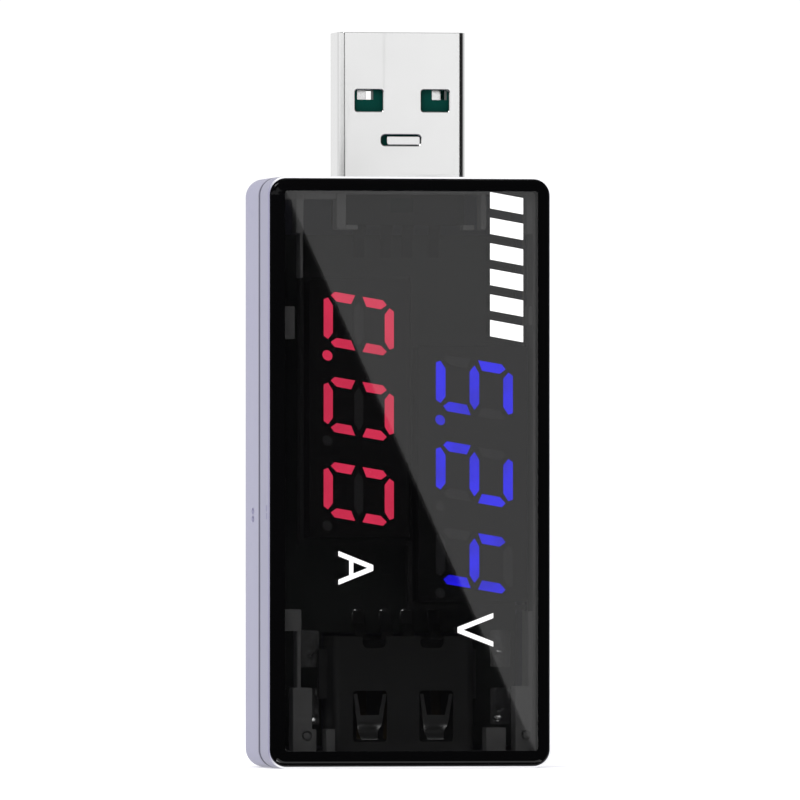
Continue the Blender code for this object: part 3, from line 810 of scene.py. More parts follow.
def solder(name, painted_glints):
    """Tin solder: bright, uneven and slightly wrinkled, with painted glints: specks that glow at a given
    strength.
    """
    material, graph, shader = start_material(name)
    texture = use_group(graph, grain_group(), Grain_Size=5200.0, Tone_Size=1400.0)
    colours = graph.between(texture.outputs["Tone"], (0.55, 0.55, 0.56), (0.86, 0.86, 0.85))
    graph.tree.links.new(colours, shader.inputs["Base Color"])
    rough = graph.stretch(texture.outputs["Tone"], 0.10, 0.30)
    graph.tree.links.new(rough, shader.inputs["Roughness"])
    shader.inputs["Metallic"].default_value = 0.8
    bump(graph, shader, texture.outputs["Height"], 0.5, 0.02 * MM)
    # painted glints: a few specks glow with the solder's own colour
    specks = use_group(graph, grain_group(), Grain_Size=2400.0).outputs["Height"]
    picked = graph.add(
        "ShaderNodeMapRange", {"Value": specks, "From Min": 0.57, "From Max": 0.65}, clamp=True
    )
    painted_glint_colour = graph.between(picked.outputs["Result"], (0.0, 0.0, 0.0), colours)
    graph.tree.links.new(painted_glint_colour, shader.inputs["Emission Color"])
    shader.inputs["Emission Strength"].default_value = painted_glints
    return material


def printed_white(name):
    """White ink with a slightly uneven cover and a faint painted glow."""
    material, graph, shader = start_material(name)
    texture = use_group(graph, grain_group(), Grain_Size=7000.0, Tone_Size=1200.0)
    colours = graph.between(texture.outputs["Tone"], (0.90, 0.90, 0.90), (0.97, 0.97, 0.97))
    graph.tree.links.new(colours, shader.inputs["Base Color"])
    graph.tree.links.new(colours, shader.inputs["Emission Color"])
    rough = graph.stretch(texture.outputs["Tone"], 0.35, 0.5)
    graph.tree.links.new(rough, shader.inputs["Roughness"])
    bump(graph, shader, texture.outputs["Height"], 0.2, 0.003 * MM)
    # painted light: the ink glows faintly, though it is no lamp
    shader.inputs["Emission Strength"].default_value = 0.12
    return material


# Case


def end_openings(y_low, y_high):
    """Cutters for the plug's and the socket's openings in the ends of a shell."""
    gap = 0.15 * MM
    tools = []
    plug_half, plug_deep = PLUG_HIGH.x + gap, PLUG_HIGH.y + gap
    tools.append(
        tool_block(
            (-plug_half, plug_half),
            (max(y_low, -plug_deep), min(y_high, plug_deep)),
            (CASE_HEIGHT - 2 * WALL, CASE_HEIGHT + PAST),
        )
    )
    socket_half, socket_deep = 6.59 * MM + gap, SOCKET_HIGH.y + gap
    tools.append(
        tool_block(
            (-socket_half, socket_half),
            (max(y_low, -socket_deep), min(y_high, socket_deep)),
            (-PAST, 2 * WALL),
        )
    )
    return tools


def side_marks(y, z, length, sunk):
    """Two small moulding marks, one over the other, in the left side of the case."""
    radius, flattened, apart = 0.34 * MM, 0.95, 0.36 * MM
    marks = []
    for level in (z - apart, z + apart):
        shape = bmesh.new()
        bmesh.ops.create_uvsphere(shape, u_segments=24, v_segments=12, radius=radius)
        stretch = (sunk / radius, length / (2 * radius), flattened)
        bmesh.ops.scale(shape, vec=stretch, verts=shape.verts)
        bmesh.ops.translate(shape, vec=(-HALF_WIDTH, y, level), verts=shape.verts)
        marks.append(new_object("mark", shape))
    return marks


def build_front_frame(settings, material):
    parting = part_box("front_frame")[1].y
    shape = rounded_block(
        (-HALF_WIDTH, CASE_LOW.y, 0.0),
        (HALF_WIDTH, parting - 0.16 * MM, CASE_HEIGHT),
        corner=settings.corner,
        steps=12,
        loops=((1, 1, 0.08 * MM, 3), (1, -1, 0.06 * MM, 3)),
    )
    front = new_object("case_front", shape)
    seat = HALF_WIDTH - settings.rim
    seat_tool = tool_block(
        (-seat, seat),
        (CASE_LOW.y - PAST, WINDOW_HIGH.y + 0.1 * MM),
        (settings.rim, CASE_HEIGHT - settings.rim),
        corner=settings.corner - settings.rim,
        steps=12,
    )
    inner = HALF_WIDTH - WALL
    inner_tool = tool_block(
        (-inner, inner),
        (CASE_LOW.y - PAST, parting + PAST),
        (WALL, CASE_HEIGHT - WALL),
        corner=1.0 * MM,
        steps=8,
    )
    inset = 0.6 * MM
    rabbet_tool = tool_block(
        (-HALF_WIDTH + inset, HALF_WIDTH - inset),
        (parting - 0.8 * MM, parting + PAST),
        (inset, CASE_HEIGHT - inset),
        corner=settings.corner - inset,
        steps=8,
    )
    openings = end_openings(CASE_LOW.y, parting + PAST)
    cut(front, seat_tool, inner_tool, rabbet_tool, *openings)
    join(front, *frame_ribs())
    cut(front, *ejector_rings(), *side_marks(-5.45 * MM, 23.5 * MM, 0.9 * MM, 0.11 * MM))
    shade(front, 28.0)
    dress(front, material, node="front_frame")


def frame_ribs():
    """Ribs, snap tabs and corner blocks inside the frame, as (low, high) ranges in mm."""
    wall = (HALF_WIDTH - WALL) / MM + 0.3
    top = (CASE_HEIGHT - WALL) / MM + 0.25
    front, back = -4.9, -2.8
    ribs = (
        ((-10.4, -9.7), (front, back), (49.1, top)),
        ((-10.0, -9.7), (front + 0.3, back), (45.0, 49.4)),
        ((-wall, -6.5), (front + 0.4, back), (52.25, top)),
        ((-6.6, -5.75), (front, back), (49.5, top)),
        ((-6.6, -4.6), (front + 0.2, -3.2), (49.45, 49.9)),
        ((5.2, 6.3), (front + 0.2, -3.2), (49.45, 49.9)),
        ((6.9, 7.4), (front, back), (49.5, top)),
        ((-wall, -10.45), (front + 0.4, back), (39.4, 42.4)),
        ((-wall, -9.9), (front, back), (12.6, 14.6)),
        ((-10.25, -9.9), (front + 0.3, back), (6.0, 12.8)),
        ((-10.7, -8.9), (front, back), (1.3, 7.4)),
        ((-9.1, -8.5), (front, back), (1.3, 3.6)),
        ((-7.6, -6.75), (front, -3.0), (1.3, 3.6)),
        ((11.15, wall), (front, back), (49.1, top)),
        ((11.4, wall), (front + 0.4, back), (40.7, 42.5)),
        ((11.3, wall), (front, back), (6.0, 14.4)),
        ((10.1, wall), (front, back), (1.3, 7.5)),
        ((7.36, 9.22), (front, -3.0), (1.3, 3.7)),
    )
    tools = []
    for spans in ribs:
        x, y, z = (tuple(side * MM for side in pair) for pair in spans)
        tools.append(tool_block(x, y, z, corner=0.12 * MM, steps=3, loops=((1, -1, 0.08 * MM, 2),)))
    return tools


def ejector_rings():
    """Ring-shaped marks left by the ejector pins on the two lower corner blocks."""
    rings = []
    for x in (-9.4 * MM, 11.1 * MM):
        shape = bmesh.new()
        for radius in (0.50 * MM, 0.28 * MM):
            bmesh.ops.create_circle(shape, radius=radius, segments=32)
        bmesh.ops.bridge_loops(shape, edges=shape.edges)
        drawn = bmesh.ops.extrude_face_region(shape, geom=list(shape.faces))["geom"]
        far = [item for item in drawn if isinstance(item, bmesh.types.BMVert)]
        bmesh.ops.translate(shape, vec=(0.0, 0.0, 0.6 * MM), verts=far)
        turn = Matrix.Rotation(pi / 2, 4, "X")
        bmesh.ops.transform(shape, matrix=turn, verts=shape.verts)
        bmesh.ops.translate(shape, vec=(x, -4.4 * MM, 3.0 * MM), verts=shape.verts)
        bmesh.ops.recalc_face_normals(shape, faces=shape.faces)
        rings.append(new_object("ring", shape))
    return rings


def build_back_shell(settings, material):
    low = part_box("back_shell")[0]
    parting = low.y + 0.9 * MM
    shape = rounded_block(
        (-HALF_WIDTH, parting - 0.02 * MM, 0.0),
        (HALF_WIDTH, HALF_DEPTH, CASE_HEIGHT),
        corner=settings.corner,
        steps=12,
        loops=((1, -1, 0.12 * MM, 3), (1, 1, settings.back_round, 6)),
    )
    shell = new_object("case_back", shape)
    inset = 0.9 * MM
    lip = tool_block(
        (-HALF_WIDTH + inset, HALF_WIDTH - inset),
        (low.y, parting + PAST),
        (inset, CASE_HEIGHT - inset),
        corner=settings.corner - inset,
        steps=8,
    )
    join(shell, lip)
    inner = HALF_WIDTH - WALL
    inside = tool_block(
        (-inner, inner),
        (low.y - PAST, HALF_DEPTH - 1.2 * MM),
        (WALL, CASE_HEIGHT - WALL),
        corner=1.0 * MM,
        steps=8,
    )
    cut(shell, inside, *end_openings(low.y - PAST, HALF_DEPTH))
    posts = []
    for side in (-1, 1):
        for z in (15.0 * MM, 45.2 * MM):
            x = sorted((side * 9.4 * MM, side * (inner + 0.3 * MM)))
            y = (BOARD_HIGH.y + 0.3 * MM, HALF_DEPTH - 0.6 * MM)
            posts.append(tool_block(x, y, (z - 0.9 * MM, z + 0.9 * MM), corner=0.2 * MM, steps=3))
    join(shell, *posts)
    cut(shell, *side_marks(1.7 * MM, 23.25 * MM, 1.4 * MM, 0.36 * MM))
    shade(shell, 28.0)
    dress(shell, material, node="back_shell")


class METER_OT_case(bpy.types.Operator):
    """Build the two case shells"""

    bl_idname = "meter.case"
    bl_label = "Case"

    def execute(self, context):
        settings = context.scene.meter_case
        # painted shade: the frame is the same plastic as the shell, painted 12% darker for the shade on
        # the front half
        build_front_frame(settings, case_plastic("frame_plastic", tinted(settings.colour, 0.88)))
        build_back_shell(settings, case_plastic("shell_plastic", settings.colour))
        return {"FINISHED"}


# Window and prints


def build_window(case, settings):
    """The window: a plate with a crowned black border round its clear flat part."""
    gap = 0.02 * MM
    half = HALF_WIDTH - case.rim - gap
    inset = case.rim + gap
    crown = ((0.04, 0.10), (0.08, 0.08), (0.13, 0.05), (0.20, 0.04))
    rise = sum(step[1] for step in crown) * MM
    spread = sum(step[0] for step in crown) * MM
    slope = 0.09 * MM
    shape = rounded_block(
        (-half, WINDOW_LOW.y + rise + slope, inset),
        (half, WINDOW_HIGH.y, CASE_HEIGHT - inset),
        corner=case.corner - inset,
        steps=12,
    )
    face = min(shape.faces, key=lambda f: f.calc_center_median().y)
    for width, height in crown:
        bmesh.ops.inset_region(shape, faces=[face], thickness=width * MM)
        bmesh.ops.translate(shape, vec=(0.0, -height * MM, 0.0), verts=face.verts)
    crest = face.calc_center_median().y
    bmesh.ops.inset_region(shape, faces=[face], thickness=settings.border - spread)
    bmesh.ops.translate(shape, vec=(0.12 * MM, -slope, 0.14 * MM), verts=face.verts)
    back = max(shape.faces, key=lambda f: f.calc_center_median().y)
    bmesh.ops.inset_region(shape, faces=[back], thickness=settings.border - 0.1 * MM)
    clear = (face.calc_center_median().y, back.calc_center_median().y)
    window = new_object("window_plate", shape, sharp=60.0)
    for edge in window.data.edges:
        ends = [window.data.vertices[i].co.y for i in edge.vertices]
        if any(max(abs(y - level) for y in ends) < 1e-7 for level in (clear[0], crest)):
            edge.use_edge_sharp = True
    even_out(window)
    border = smoked_plastic("window_border", settings, 1.0, gloss=0.12)
    dress(window, border, node="window")
    window.data.materials.append(smoked_plastic("window_clear", settings, settings.cover))
    window.data.materials.append(smoked_plastic("window_lower_edge", settings, 1.0, gloss=1.0))
    for polygon in window.data.polygons:
        middle = polygon.center
        flat = abs(abs(polygon.normal.y) - 1.0) < 1e-4
        if flat and min(abs(middle.y - level) for level in clear) < 1e-6 and polygon.area > 1e-4:
            polygon.material_index = 1
        elif polygon.normal.z < -0.25:
            polygon.material_index = 2


def letter_a(height, width, stroke):
    """The outline of a capital A as (across, up) points, and its counter."""
    flat = stroke * 1.1
    reach = (width / 2 - stroke) * height / (width / 2 - flat / 2)
    low, high = height * 0.31, height * 0.43

    def inner(up):
        return (width / 2 - stroke) * (1 - up / reach)

    outline = [
        (-width / 2, 0.0),
        (stroke - width / 2, 0.0),
        (-inner(low), low),
        (inner(low), low),
        (width / 2 - stroke, 0.0),
        (width / 2, 0.0),
        (flat / 2, height),
        (-flat / 2, height),
    ]
    return [outline, [(-inner(high), high), (inner(high), high), (0.0, reach)]]


def letter_v(height, width, stroke):
    """The outline of a capital V as (across, up) points."""
    flat = stroke * 1.1
    reach = height - (width / 2 - stroke) * height / (width / 2 - flat / 2)
    return [
        [
            (-width / 2, height),
            (-flat / 2, 0.0),
            (flat / 2, 0.0),
            (width / 2, height),
            (width / 2 - stroke, height),
            (0.0, reach),
            (stroke - width / 2, height),
        ]
    ]


def tally_bars(count, height, width, gap, lean):
    """A plain row of leaning bars."""
    pitch = width + gap
    bars = []
    for i in range(count):
        left = (i - count / 2) * pitch + gap / 2
        bars.append(
            [(left, 0.0), (left + width, 0.0), (left + width + lean, height), (left + lean, height)]
        )
    return bars


def print_on_window(name, outlines, foot, middle, material):
    """Lay flat outlines on the window, read from top to bottom with their tops to +X."""
    curve = bpy.data.curves.new(name, "CURVE")
    curve.dimensions = "2D"
    curve.fill_mode = "BOTH"
    curve.extrude = 0.006 * MM
    for outline in outlines:
        spline = curve.splines.new("POLY")
        spline.points.add(len(outline) - 1)
        spline.use_cyclic_u = True
        for point, (across, up) in zip(spline.points, outline):
            point.co = (foot + up, middle - across, 0.0, 1.0)
    drawn = bpy.data.objects.new(name + "_outline", curve)
    drawn.rotation_euler = (pi / 2, 0.0, 0.0)
    drawn.location = (0.0, WINDOW_LOW.y - 0.004 * MM, 0.0)
    bpy.context.scene.collection.objects.link(drawn)
    bpy.context.view_layer.update()
    evaluated = drawn.evaluated_get(bpy.context.evaluated_depsgraph_get())
    shape = bmesh.new()
    shape.from_mesh(bpy.data.meshes.new_from_object(evaluated))
    bmesh.ops.remove_doubles(shape, verts=shape.verts, dist=1e-7)
    bmesh.ops.transform(shape, matrix=drawn.matrix_world, verts=shape.verts)
    bmesh.ops.recalc_face_normals(shape, faces=shape.faces)
    bpy.data.objects.remove(drawn)
    dress(new_object(name, shape), material)


class METER_OT_window(bpy.types.Operator):
    """Build the smoked window"""

    bl_idname = "meter.window"
    bl_label = "Window"

    def execute(self, context):
        build_window(context.scene.meter_case, context.scene.meter_window)
        return {"FINISHED"}


class METER_OT_prints(bpy.types.Operator):
    """Print the unit letters and a plain mark on the window"""

    bl_idname = "meter.prints"
    bl_label = "Prints"

    def execute(self, context):
        ink = printed_white("white_ink")
        current = letter_a(3.25 * MM, 3.1 * MM, 0.47 * MM)
        voltage = letter_v(3.35 * MM, 3.1 * MM, 0.47 * MM)
        bars = tally_bars(6, 3.1 * MM, 1.5 * MM, 0.85 * MM, 0.55 * MM)
        print_on_window("unit_letter_a", current, -6.72 * MM, 18.4 * MM, ink)
        print_on_window("unit_letter_v", voltage, 4.40 * MM, 12.7 * MM, ink)
        print_on_window("plain_bars", bars, 7.45 * MM, 46.3 * MM, ink)
        return {"FINISHED"}


# Displays


def bar_outlines(look):
    """Outlines of one digit's seven bars and its point, as (along, up) points."""
    s = look["stroke"] / 2
    bar = look["bar_spacing"] / 2
    side = look["side_spacing"] / 2
    tip, outer, inner = (side - gap * MM for gap in (0.20, 0.42, 0.84))
    lying = [(-tip, 0.05 * s), (-outer, s), (outer, s), (tip, 0.05 * s), (inner, -s), (-inner, -s)]
    near, far = 0.34 * MM, 0.71 * MM
    crest, shoulder, heel = (bar - gap * MM for gap in (0.235, 0.585, 0.775))
    standing = [(-s, far), (s, near), (s, shoulder), (0.1 * s, crest), (-s, heel)]
    point, neck = side - 0.09 * MM, side - 0.74 * MM
    centre = [(-point, 0.0), (-neck, s), (neck, s), (point, 0.0), (neck, -s), (-neck, -s)]
    along, up = look["point"]
    radius = look["point_radius"]
    turns = [2 * pi * step / 32 for step in range(32)]
    return {
        "a": [(a, bar + u) for a, u in lying],
        "d": [(a, -bar - u) for a, u in lying],
        "g": centre,
        "b": [(side + a, u) for a, u in standing],
        "c": [(side + a, -u) for a, u in standing],
        "e": [(-side - a, -u) for a, u in standing],
        "f": [(-side - a, u) for a, u in standing],
        "point": [(along + radius * cos(t), up + radius * sin(t)) for t in turns],
    }


def display_outlines(look, middle_z):
    """The lit and the unlit outlines of a whole display, as (X, Z) points."""
    lit, unlit = [], []
    for place, figure in enumerate(look["reading"]):
        down = (place - (len(look["reading"]) - 1) / 2) * look["pitch"]
        wanted = DIGIT_BARS[figure[0]]
        for bar, outline in bar_outlines(look).items():
            points = [
                (look["across"] + up, middle_z - down - along - DIGIT_SLANT * up)
                for along, up in outline
            ]
            shown = bar in wanted or (bar == "point" and figure.endswith("."))
            (lit if shown else unlit).append(points)
    return lit, unlit


def build_display(name, look, glowing, face, unlit_resin):
    low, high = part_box(f"{name}_housing")
    middle_z = (low.z + high.z) / 2
    lit, unlit = display_outlines(look, middle_z)
    body = new_object(
        f"{name}_face",
        rounded_block(low, high, corner=0.25 * MM, steps=4, loops=((1, -1, 0.08 * MM, 2),)),
    )
    slots = prisms("slots", lit + unlit, low.y - PAST, low.y + 0.5 * MM)
    pocket = tool_block(
        (low.x + 0.6 * MM, high.x - 0.6 * MM),
        (low.y + 1.6 * MM, high.y + PAST),
        (low.z + 0.6 * MM, high.z - 0.6 * MM),
        corner=0.2 * MM,
        steps=2,
    )
    cut(body, slots, pocket)
    shade(body, 28.0)
    dress(body, face, node=f"{name}_housing")
    shining = prisms(f"{name}_lit_bars", lit, low.y + 0.02 * MM, low.y + 0.48 * MM, edge=0.02 * MM)
    dress(shining, glowing, node=f"{name}_segments")
    resting = prisms(f"{name}_dark_bars", unlit, low.y + 0.03 * MM, low.y + 0.48 * MM, edge=0.02 * MM)
    dress(resting, unlit_resin)


class METER_OT_displays(bpy.types.Operator):
    """Build both seven-segment displays"""

    bl_idname = "meter.displays"
    bl_label = "Displays"

    def execute(self, context):
        settings = context.scene.meter_display
        face = moulded_plastic("display_face", (0.022, 0.022, 0.024), 0.55, change=0.1)
        unlit = moulded_plastic("unlit_resin", (0.12, 0.12, 0.125), 0.4, change=0.08)
        glows = {
            "ammeter": lit_resin("red_glow", settings.red, settings.red_glow, 0.84),
            "voltmeter": lit_resin("blue_glow", settings.blue, settings.blue_glow, 0.60),
        }
        for name, look in DISPLAYS.items():
            build_display(name, look, glows[name], face, unlit)
        holder = moulded_plastic("holder_plastic", (0.07, 0.07, 0.072), 0.5, change=0.1)
        repaint("display_spacer", holder, 0.06 * MM)
        laminate = circuit_laminate("display_laminate", (0.03, 0.035, 0.03))
        for name in DISPLAYS:
            repaint(f"{name}_substrate", laminate, 0.03 * MM)
        return {"FINISHED"}


# Plug


def flared_cutter(x, z, wall, face, depth, corner):
    """A cutter for a hole in a sheet, with a rounded-over edge, centred between two ranges."""
    low = Vector((x[0], min(wall, wall - face * depth), z[0]))
    high = Vector((x[1], max(wall, wall - face * depth), z[1]))
    shape = rounded_block(low, high, corner=corner, steps=6)
    middle = (low + high) / 2
    mouth = max(shape.faces, key=lambda f: face * f.calc_center_median().y)
    bmesh.ops.translate(shape, vec=(0.0, -face * 0.09 * MM, 0.0), verts=mouth.verts)
    for out, wide in ((0.05, 0.015), (0.03, 0.03), (0.01, 0.04), (0.3, 0.25)):
        drawn = bmesh.ops.extrude_face_region(shape, geom=[mouth])["geom"]
        shape.faces.remove(mouth)
        mouth = next(item for item in drawn if isinstance(item, bmesh.types.BMFace))
        for vert in mouth.verts:
            vert.co.y += face * out * MM
            for axis in (0, 2):
                away = vert.co[axis] - middle[axis]
                vert.co[axis] += wide * MM * (1 if away > 0 else -1)
    bmesh.ops.recalc_face_normals(shape, faces=shape.faces)
    return new_object("cutter", shape)


def plug_hole(side, face):
    """A cutter for one of the plug's square holes, its corners rounded."""
    x, z = side * 3.1 * MM, PLUG_HIGH.z - 6.3 * MM
    across, up = 1.30 * MM, 1.0 * MM
    return flared_cutter(
        (x - across, x + across), (z - up, z + up), face * PLUG_HIGH.y, face, 0.7 * MM, 0.28 * MM
    )


def build_plug_shell(nickel):
    sheet = 0.3 * MM
    shape = rounded_block(
        PLUG_LOW,
        PLUG_HIGH,
        corner=0.7 * MM,
        axis=2,
        steps=10,
        loops=((2, 1, 0.06 * MM, 3),),
    )
    shell = new_object("plug_sleeve", shape)
    inside = tool_block(
        (PLUG_LOW.x + sheet, PLUG_HIGH.x - sheet),
        (PLUG_LOW.y + sheet, PLUG_HIGH.y - sheet),
        (PLUG_LOW.z - PAST, PLUG_HIGH.z + PAST),
        corner=0.32 * MM,
        axis=2,
        steps=8,
    )
    holes = [plug_hole(side, face) for side in (-1, 1) for face in (-1, 1)]
    slot_z = PLUG_HIGH.z - 9.94 * MM
    slot = flared_cutter(
        (-1.95 * MM, 1.75 * MM),
        (slot_z - 0.5 * MM, slot_z + 0.5 * MM),
        PLUG_LOW.y,
        -1,
        0.7 * MM,
        0.42 * MM,
    )
    latch = tool_block(
        (-1.1 * MM, 1.1 * MM),
        (PLUG_LOW.y - PAST, PLUG_LOW.y + sheet + 0.2 * MM),
        (51.1 * MM, 52.4 * MM),
    )
    seam = tool_block(
        (-0.03 * MM, 0.03 * MM),
        (PLUG_HIGH.y - 0.12 * MM, PLUG_HIGH.y + PAST),
        (PLUG_LOW.z - PAST, PLUG_HIGH.z + PAST),
    )
    cut(shell, inside, slot, latch, seam, *holes)
    shade(shell, 40.0)
    dress(shell, nickel, node="plug_shell")
    tab = new_object(
        "plug_tab",
        rounded_block(
            (-1.42 * MM, PLUG_LOW.y + 0.04 * MM, slot_z - 0.43 * MM),
            (1.68 * MM, PLUG_LOW.y + sheet, slot_z + 0.36 * MM),
            corner=0.16 * MM,
            steps=6,
            loops=((1, -1, 0.05 * MM, 3),),
        ),
    )
    dress(tab, nickel)


class METER_OT_plug(bpy.types.Operator):
    """Build the plug's sleeve and finish its tongue and contacts"""

    bl_idname = "meter.plug"
    bl_label = "Plug"

    def execute(self, context):
        metals = context.scene.meter_metal
        # inner sets how dark the painted shade inside the case is
        build_plug_shell(sheet_metal("plug_nickel", metals.nickel, 0.13, inner=0.16))
        green = moulded_plastic("green_tongue", (0.0, 0.040, 0.031), 0.32, change=0.12)
        shader = green.node_tree.nodes["Principled BSDF"]
        shader.inputs["Specular IOR Level"].default_value = 0.05
        repaint("plug_insulator", green, 0.05 * MM)
        strip = sheet_metal("plug_strip", tinted(metals.nickel, 1.3), 0.22, inner=0.02)
        for name in CONTACTS:
            repaint(f"plug_contact_{name}", strip, 0.04 * MM)
        return {"FINISHED"}


# Socket


def build_socket_shell(nickel):
    sheet = 0.34 * MM
    half_x, half_y = 6.59 * MM, SOCKET_HIGH.y
    shell = new_object(
        "socket_sleeve",
        rounded_block(
            (-half_x, -half_y, SOCKET_LOW.z),
            (half_x, half_y, SOCKET_HIGH.z),
            corner=0.65 * MM,
            axis=2,
            steps=8,
        ),
    )
    lugs = []
    for side in (-1, 1):
        x = sorted((side * (half_x - sheet / 2), side * SOCKET_HIGH.x))
        lugs.append(tool_block(x, (0.0, 1.0 * MM), (6.3 * MM, 10.9 * MM)))
    join(shell, *lugs)
    tools = [
        tool_block(
            (sheet - half_x, half_x - sheet),
            (sheet - half_y, half_y - sheet),
            (SOCKET_LOW.z - PAST, SOCKET_HIGH.z + PAST),
            corner=0.35 * MM,
            axis=2,
            steps=8,
        )
    ]
    for side in (-1, 1):
        for face in (-1, 1):
            y = sorted((face * (half_y - 0.7 * MM), face * (half_y + PAST)))
            x = side * 3.1 * MM
            tools.append(
                tool_block(
                    (x - 1.6 * MM, x + 1.6 * MM), y, (2.4 * MM, 7.1 * MM), corner=0.3 * MM, steps=4
                )
            )
        notch = side * 2.7 * MM
        tools.append(
            tool_block(
                (notch - 1.1 * MM, notch + 1.1 * MM),
                (-half_y - PAST, -half_y + 0.8 * MM),
                (SOCKET_HIGH.z - 1.1 * MM, SOCKET_HIGH.z + PAST),
                corner=0.5 * MM,
                steps=6,
            )
        )
    cut(shell, *tools)
    soften(shell, 0.05 * MM, steps=2, angle=50.0, sharp=40.0)
    dress(shell, nickel, node="socket_shell")


def build_socket_springs(nickel):
    """The four leaves, each two arms with a bowed end. Each turns at its upper end."""
    for place in SPRINGS:
        low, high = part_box(f"socket_spring_{place}")
        x = (low.x + high.x) / 2
        face = -1 if place.startswith("front") else 1
        wall = face * 2.73 * MM
        root = 6.8 * MM
        drops = (
            (0.0, 0.0),
            (0.05, 0.9),
            (0.20, 1.9),
            (0.28, 2.75),
            (0.90, 3.15),
            (0.95, 3.6),
            (0.25, 4.15),
        )
        points = [(wall - face * inward * MM, root - down * MM) for inward, down in drops]
        leaf = curved_strip(
            f"leaf_{place}", x, smooth_path(points, 6), (3.1 * MM, 1.5 * MM), 0.2 * MM
        )
        between = [
            (x - 1.28 * MM, root + 0.3 * MM),
            (x + 1.28 * MM, root + 0.3 * MM),
            (x + 0.86 * MM, root - 1.95 * MM),
            (x - 0.86 * MM, root - 1.95 * MM),
        ]
        ends = sorted((wall + face * PAST, wall - face * 2.0 * MM))
        cut(leaf, prisms("between", [between], *ends))
        shade(leaf, 50.0)
        dress(leaf, nickel, f"socket_spring_{place}", body=f"spring_{place}")


def build_socket_contacts(gilt):
    """The four springy contact beams, which turn at their upper ends."""
    for name in CONTACTS:
        node = f"socket_contact_{name}"
        low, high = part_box(node)
        root = high.z
        drops = ((0.0, 0.0), (0.0, 1.0), (0.22, 3.0), (0.56, 4.8), (0.60, 5.8), (0.1, 7.15))
        points = [(-out * MM, root - down * MM) for out, down in drops]
        x = (low.x + high.x) / 2
        beam = curved_strip(
            f"beam_{name}", x, smooth_path(points, 6), (1.0 * MM, 0.85 * MM), 0.24 * MM
        )
        dress(beam, gilt, node, body=f"contact_{name}")


class METER_OT_socket(bpy.types.Operator):
    """Build the socket's sleeve, leaves and contacts"""

    bl_idname = "meter.socket"
    bl_label = "Socket"

    def execute(self, context):
        metals = context.scene.meter_metal
        # inner sets how dark each metal's painted shade inside the case is
        nickel = sheet_metal("socket_nickel", metals.nickel, 0.3, inner=0.5)
        bright = sheet_metal("leaf_nickel", metals.nickel, 0.18, inner=0.9)
        gilt = sheet_metal("socket_gilt", metals.gilt, 0.24, inner=0.12)
        build_socket_shell(nickel)
        build_socket_springs(bright)
        build_socket_contacts(gilt)
        black = moulded_plastic("socket_tongue", (0.03, 0.03, 0.032), 0.45, change=0.1)
        repaint("socket_insulator", black, 0.08 * MM)
        tinned = sheet_metal("tinned_tail", metals.nickel, 0.3, inner=0.3)
        for name in CONTACTS:
            repaint(f"socket_tail_{name}", tinned, 0.04 * MM)
        return {"FINISHED"}


# Board


def solder_fillets(spots):
    """Rounded solder fillets at (X, Z, width, height) spots on the front of the board."""
    shape = bmesh.new()
    for x, z, width, height in spots:
        made = bmesh.ops.create_uvsphere(shape, u_segments=16, v_segments=8, radius=0.5)["verts"]
        bmesh.ops.scale(shape, vec=(width, 0.4 * MM, height), verts=made)
        for vert in made:
            vert.co.x += 0.05 * MM * sin(9000 * vert.co.z)
        bmesh.ops.translate(shape, vec=(x, BOARD_LOW.y - 0.06 * MM, z), verts=made)
    return new_object("solder_fillets", shape)


def tinned_pads(places):
    """Flat tinned pads on the front of the board, as (X, Z, width, height)."""
    shape = bmesh.new()
    for x, z, width, height in places:
        pad = rounded_block(
            (x - width / 2, BOARD_LOW.y - 0.05 * MM, z - height / 2),
            (x + width / 2, BOARD_LOW.y - 0.005 * MM, z + height / 2),
            corner=0.15 * MM,
            steps=3,
        )
        mesh = bpy.data.meshes.new("pad")
        pad.to_mesh(mesh)
        pad.free()
        shape.from_mesh(mesh)
        bpy.data.meshes.remove(mesh)
    return new_object("tinned_pads", shape)


class METER_OT_board(bpy.types.Operator):
    """Finish the board and what is soldered to it"""

    bl_idname = "meter.board"
    bl_label = "Board"

    def execute(self, context):
        metals = context.scene.meter_metal
        repaint("main_board", circuit_laminate("board_mask", (0.040, 0.046, 0.042)), 0.04 * MM)
        tin = solder("tin_solder", 0.15)
        spots = ((-7.9, 10.4), (-7.9, 4.4), (9.6, 10.5), (9.6, 4.45))
        lugs = [(x * MM, z * MM, 0.8 * MM, 0.55 * MM) for x, z in spots]
        tails = []
        for name in CONTACTS:
            low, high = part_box(f"socket_tail_{name}")
            tails.append(((low.x + high.x) / 2, high.z - 0.4 * MM, 1.3 * MM, 1.5 * MM))
        dress(solder_fillets(tails), tin)
        # the lug solder's painted glints glow strongly
        dress(solder_fillets(lugs), solder("lug_solder", 4.0))
        pads = [(x * MM, z * MM, 1.9 * MM, 3.4 * MM) for x in (-8.1, 9.9) for z in (5.6, 10.9)]
        dress(tinned_pads(pads), tin)
        black = moulded_plastic("component_body", (0.02, 0.02, 0.02), 0.5, change=0.1)
        for node in ("controller_chip", "voltage_regulator"):
            repaint(node, black, 0.04 * MM)
        for number in range(1, 5):
            repaint(f"resistor_{number}", black, 0.03 * MM)
        tan = moulded_plastic("capacitor_body", (0.45, 0.30, 0.18), 0.5, change=0.08)
        for number in range(1, 4):
            repaint(f"capacitor_{number}", tan, 0.05 * MM)
        repaint("current_shunt", sheet_metal("shunt_metal", tinted(metals.nickel, 0.8), 0.35), 0.05 * MM)
        return {"FINISHED"}


# Stage


# Each softbox: where it stands, its width and height, and its radiance
PANELS = {
    "left_strip": ((-0.6, -0.25, 0.25), 0.05, 0.5, 0.8),
    "top_panel": ((0.05, -0.1, 0.6), 0.3, 0.3, 1.0),
    "key": ((-0.35, -0.85, 0.60), 0.25, 0.25, 14.0),
    "spark": ((-0.45, -0.65, 0.62), 0.05, 0.05, 70.0),
}


def aim_point():
    """The point on the window's plane that the camera looks at."""
    return Vector((-0.97 * MM, WINDOW_LOW.y, 33.8 * MM))


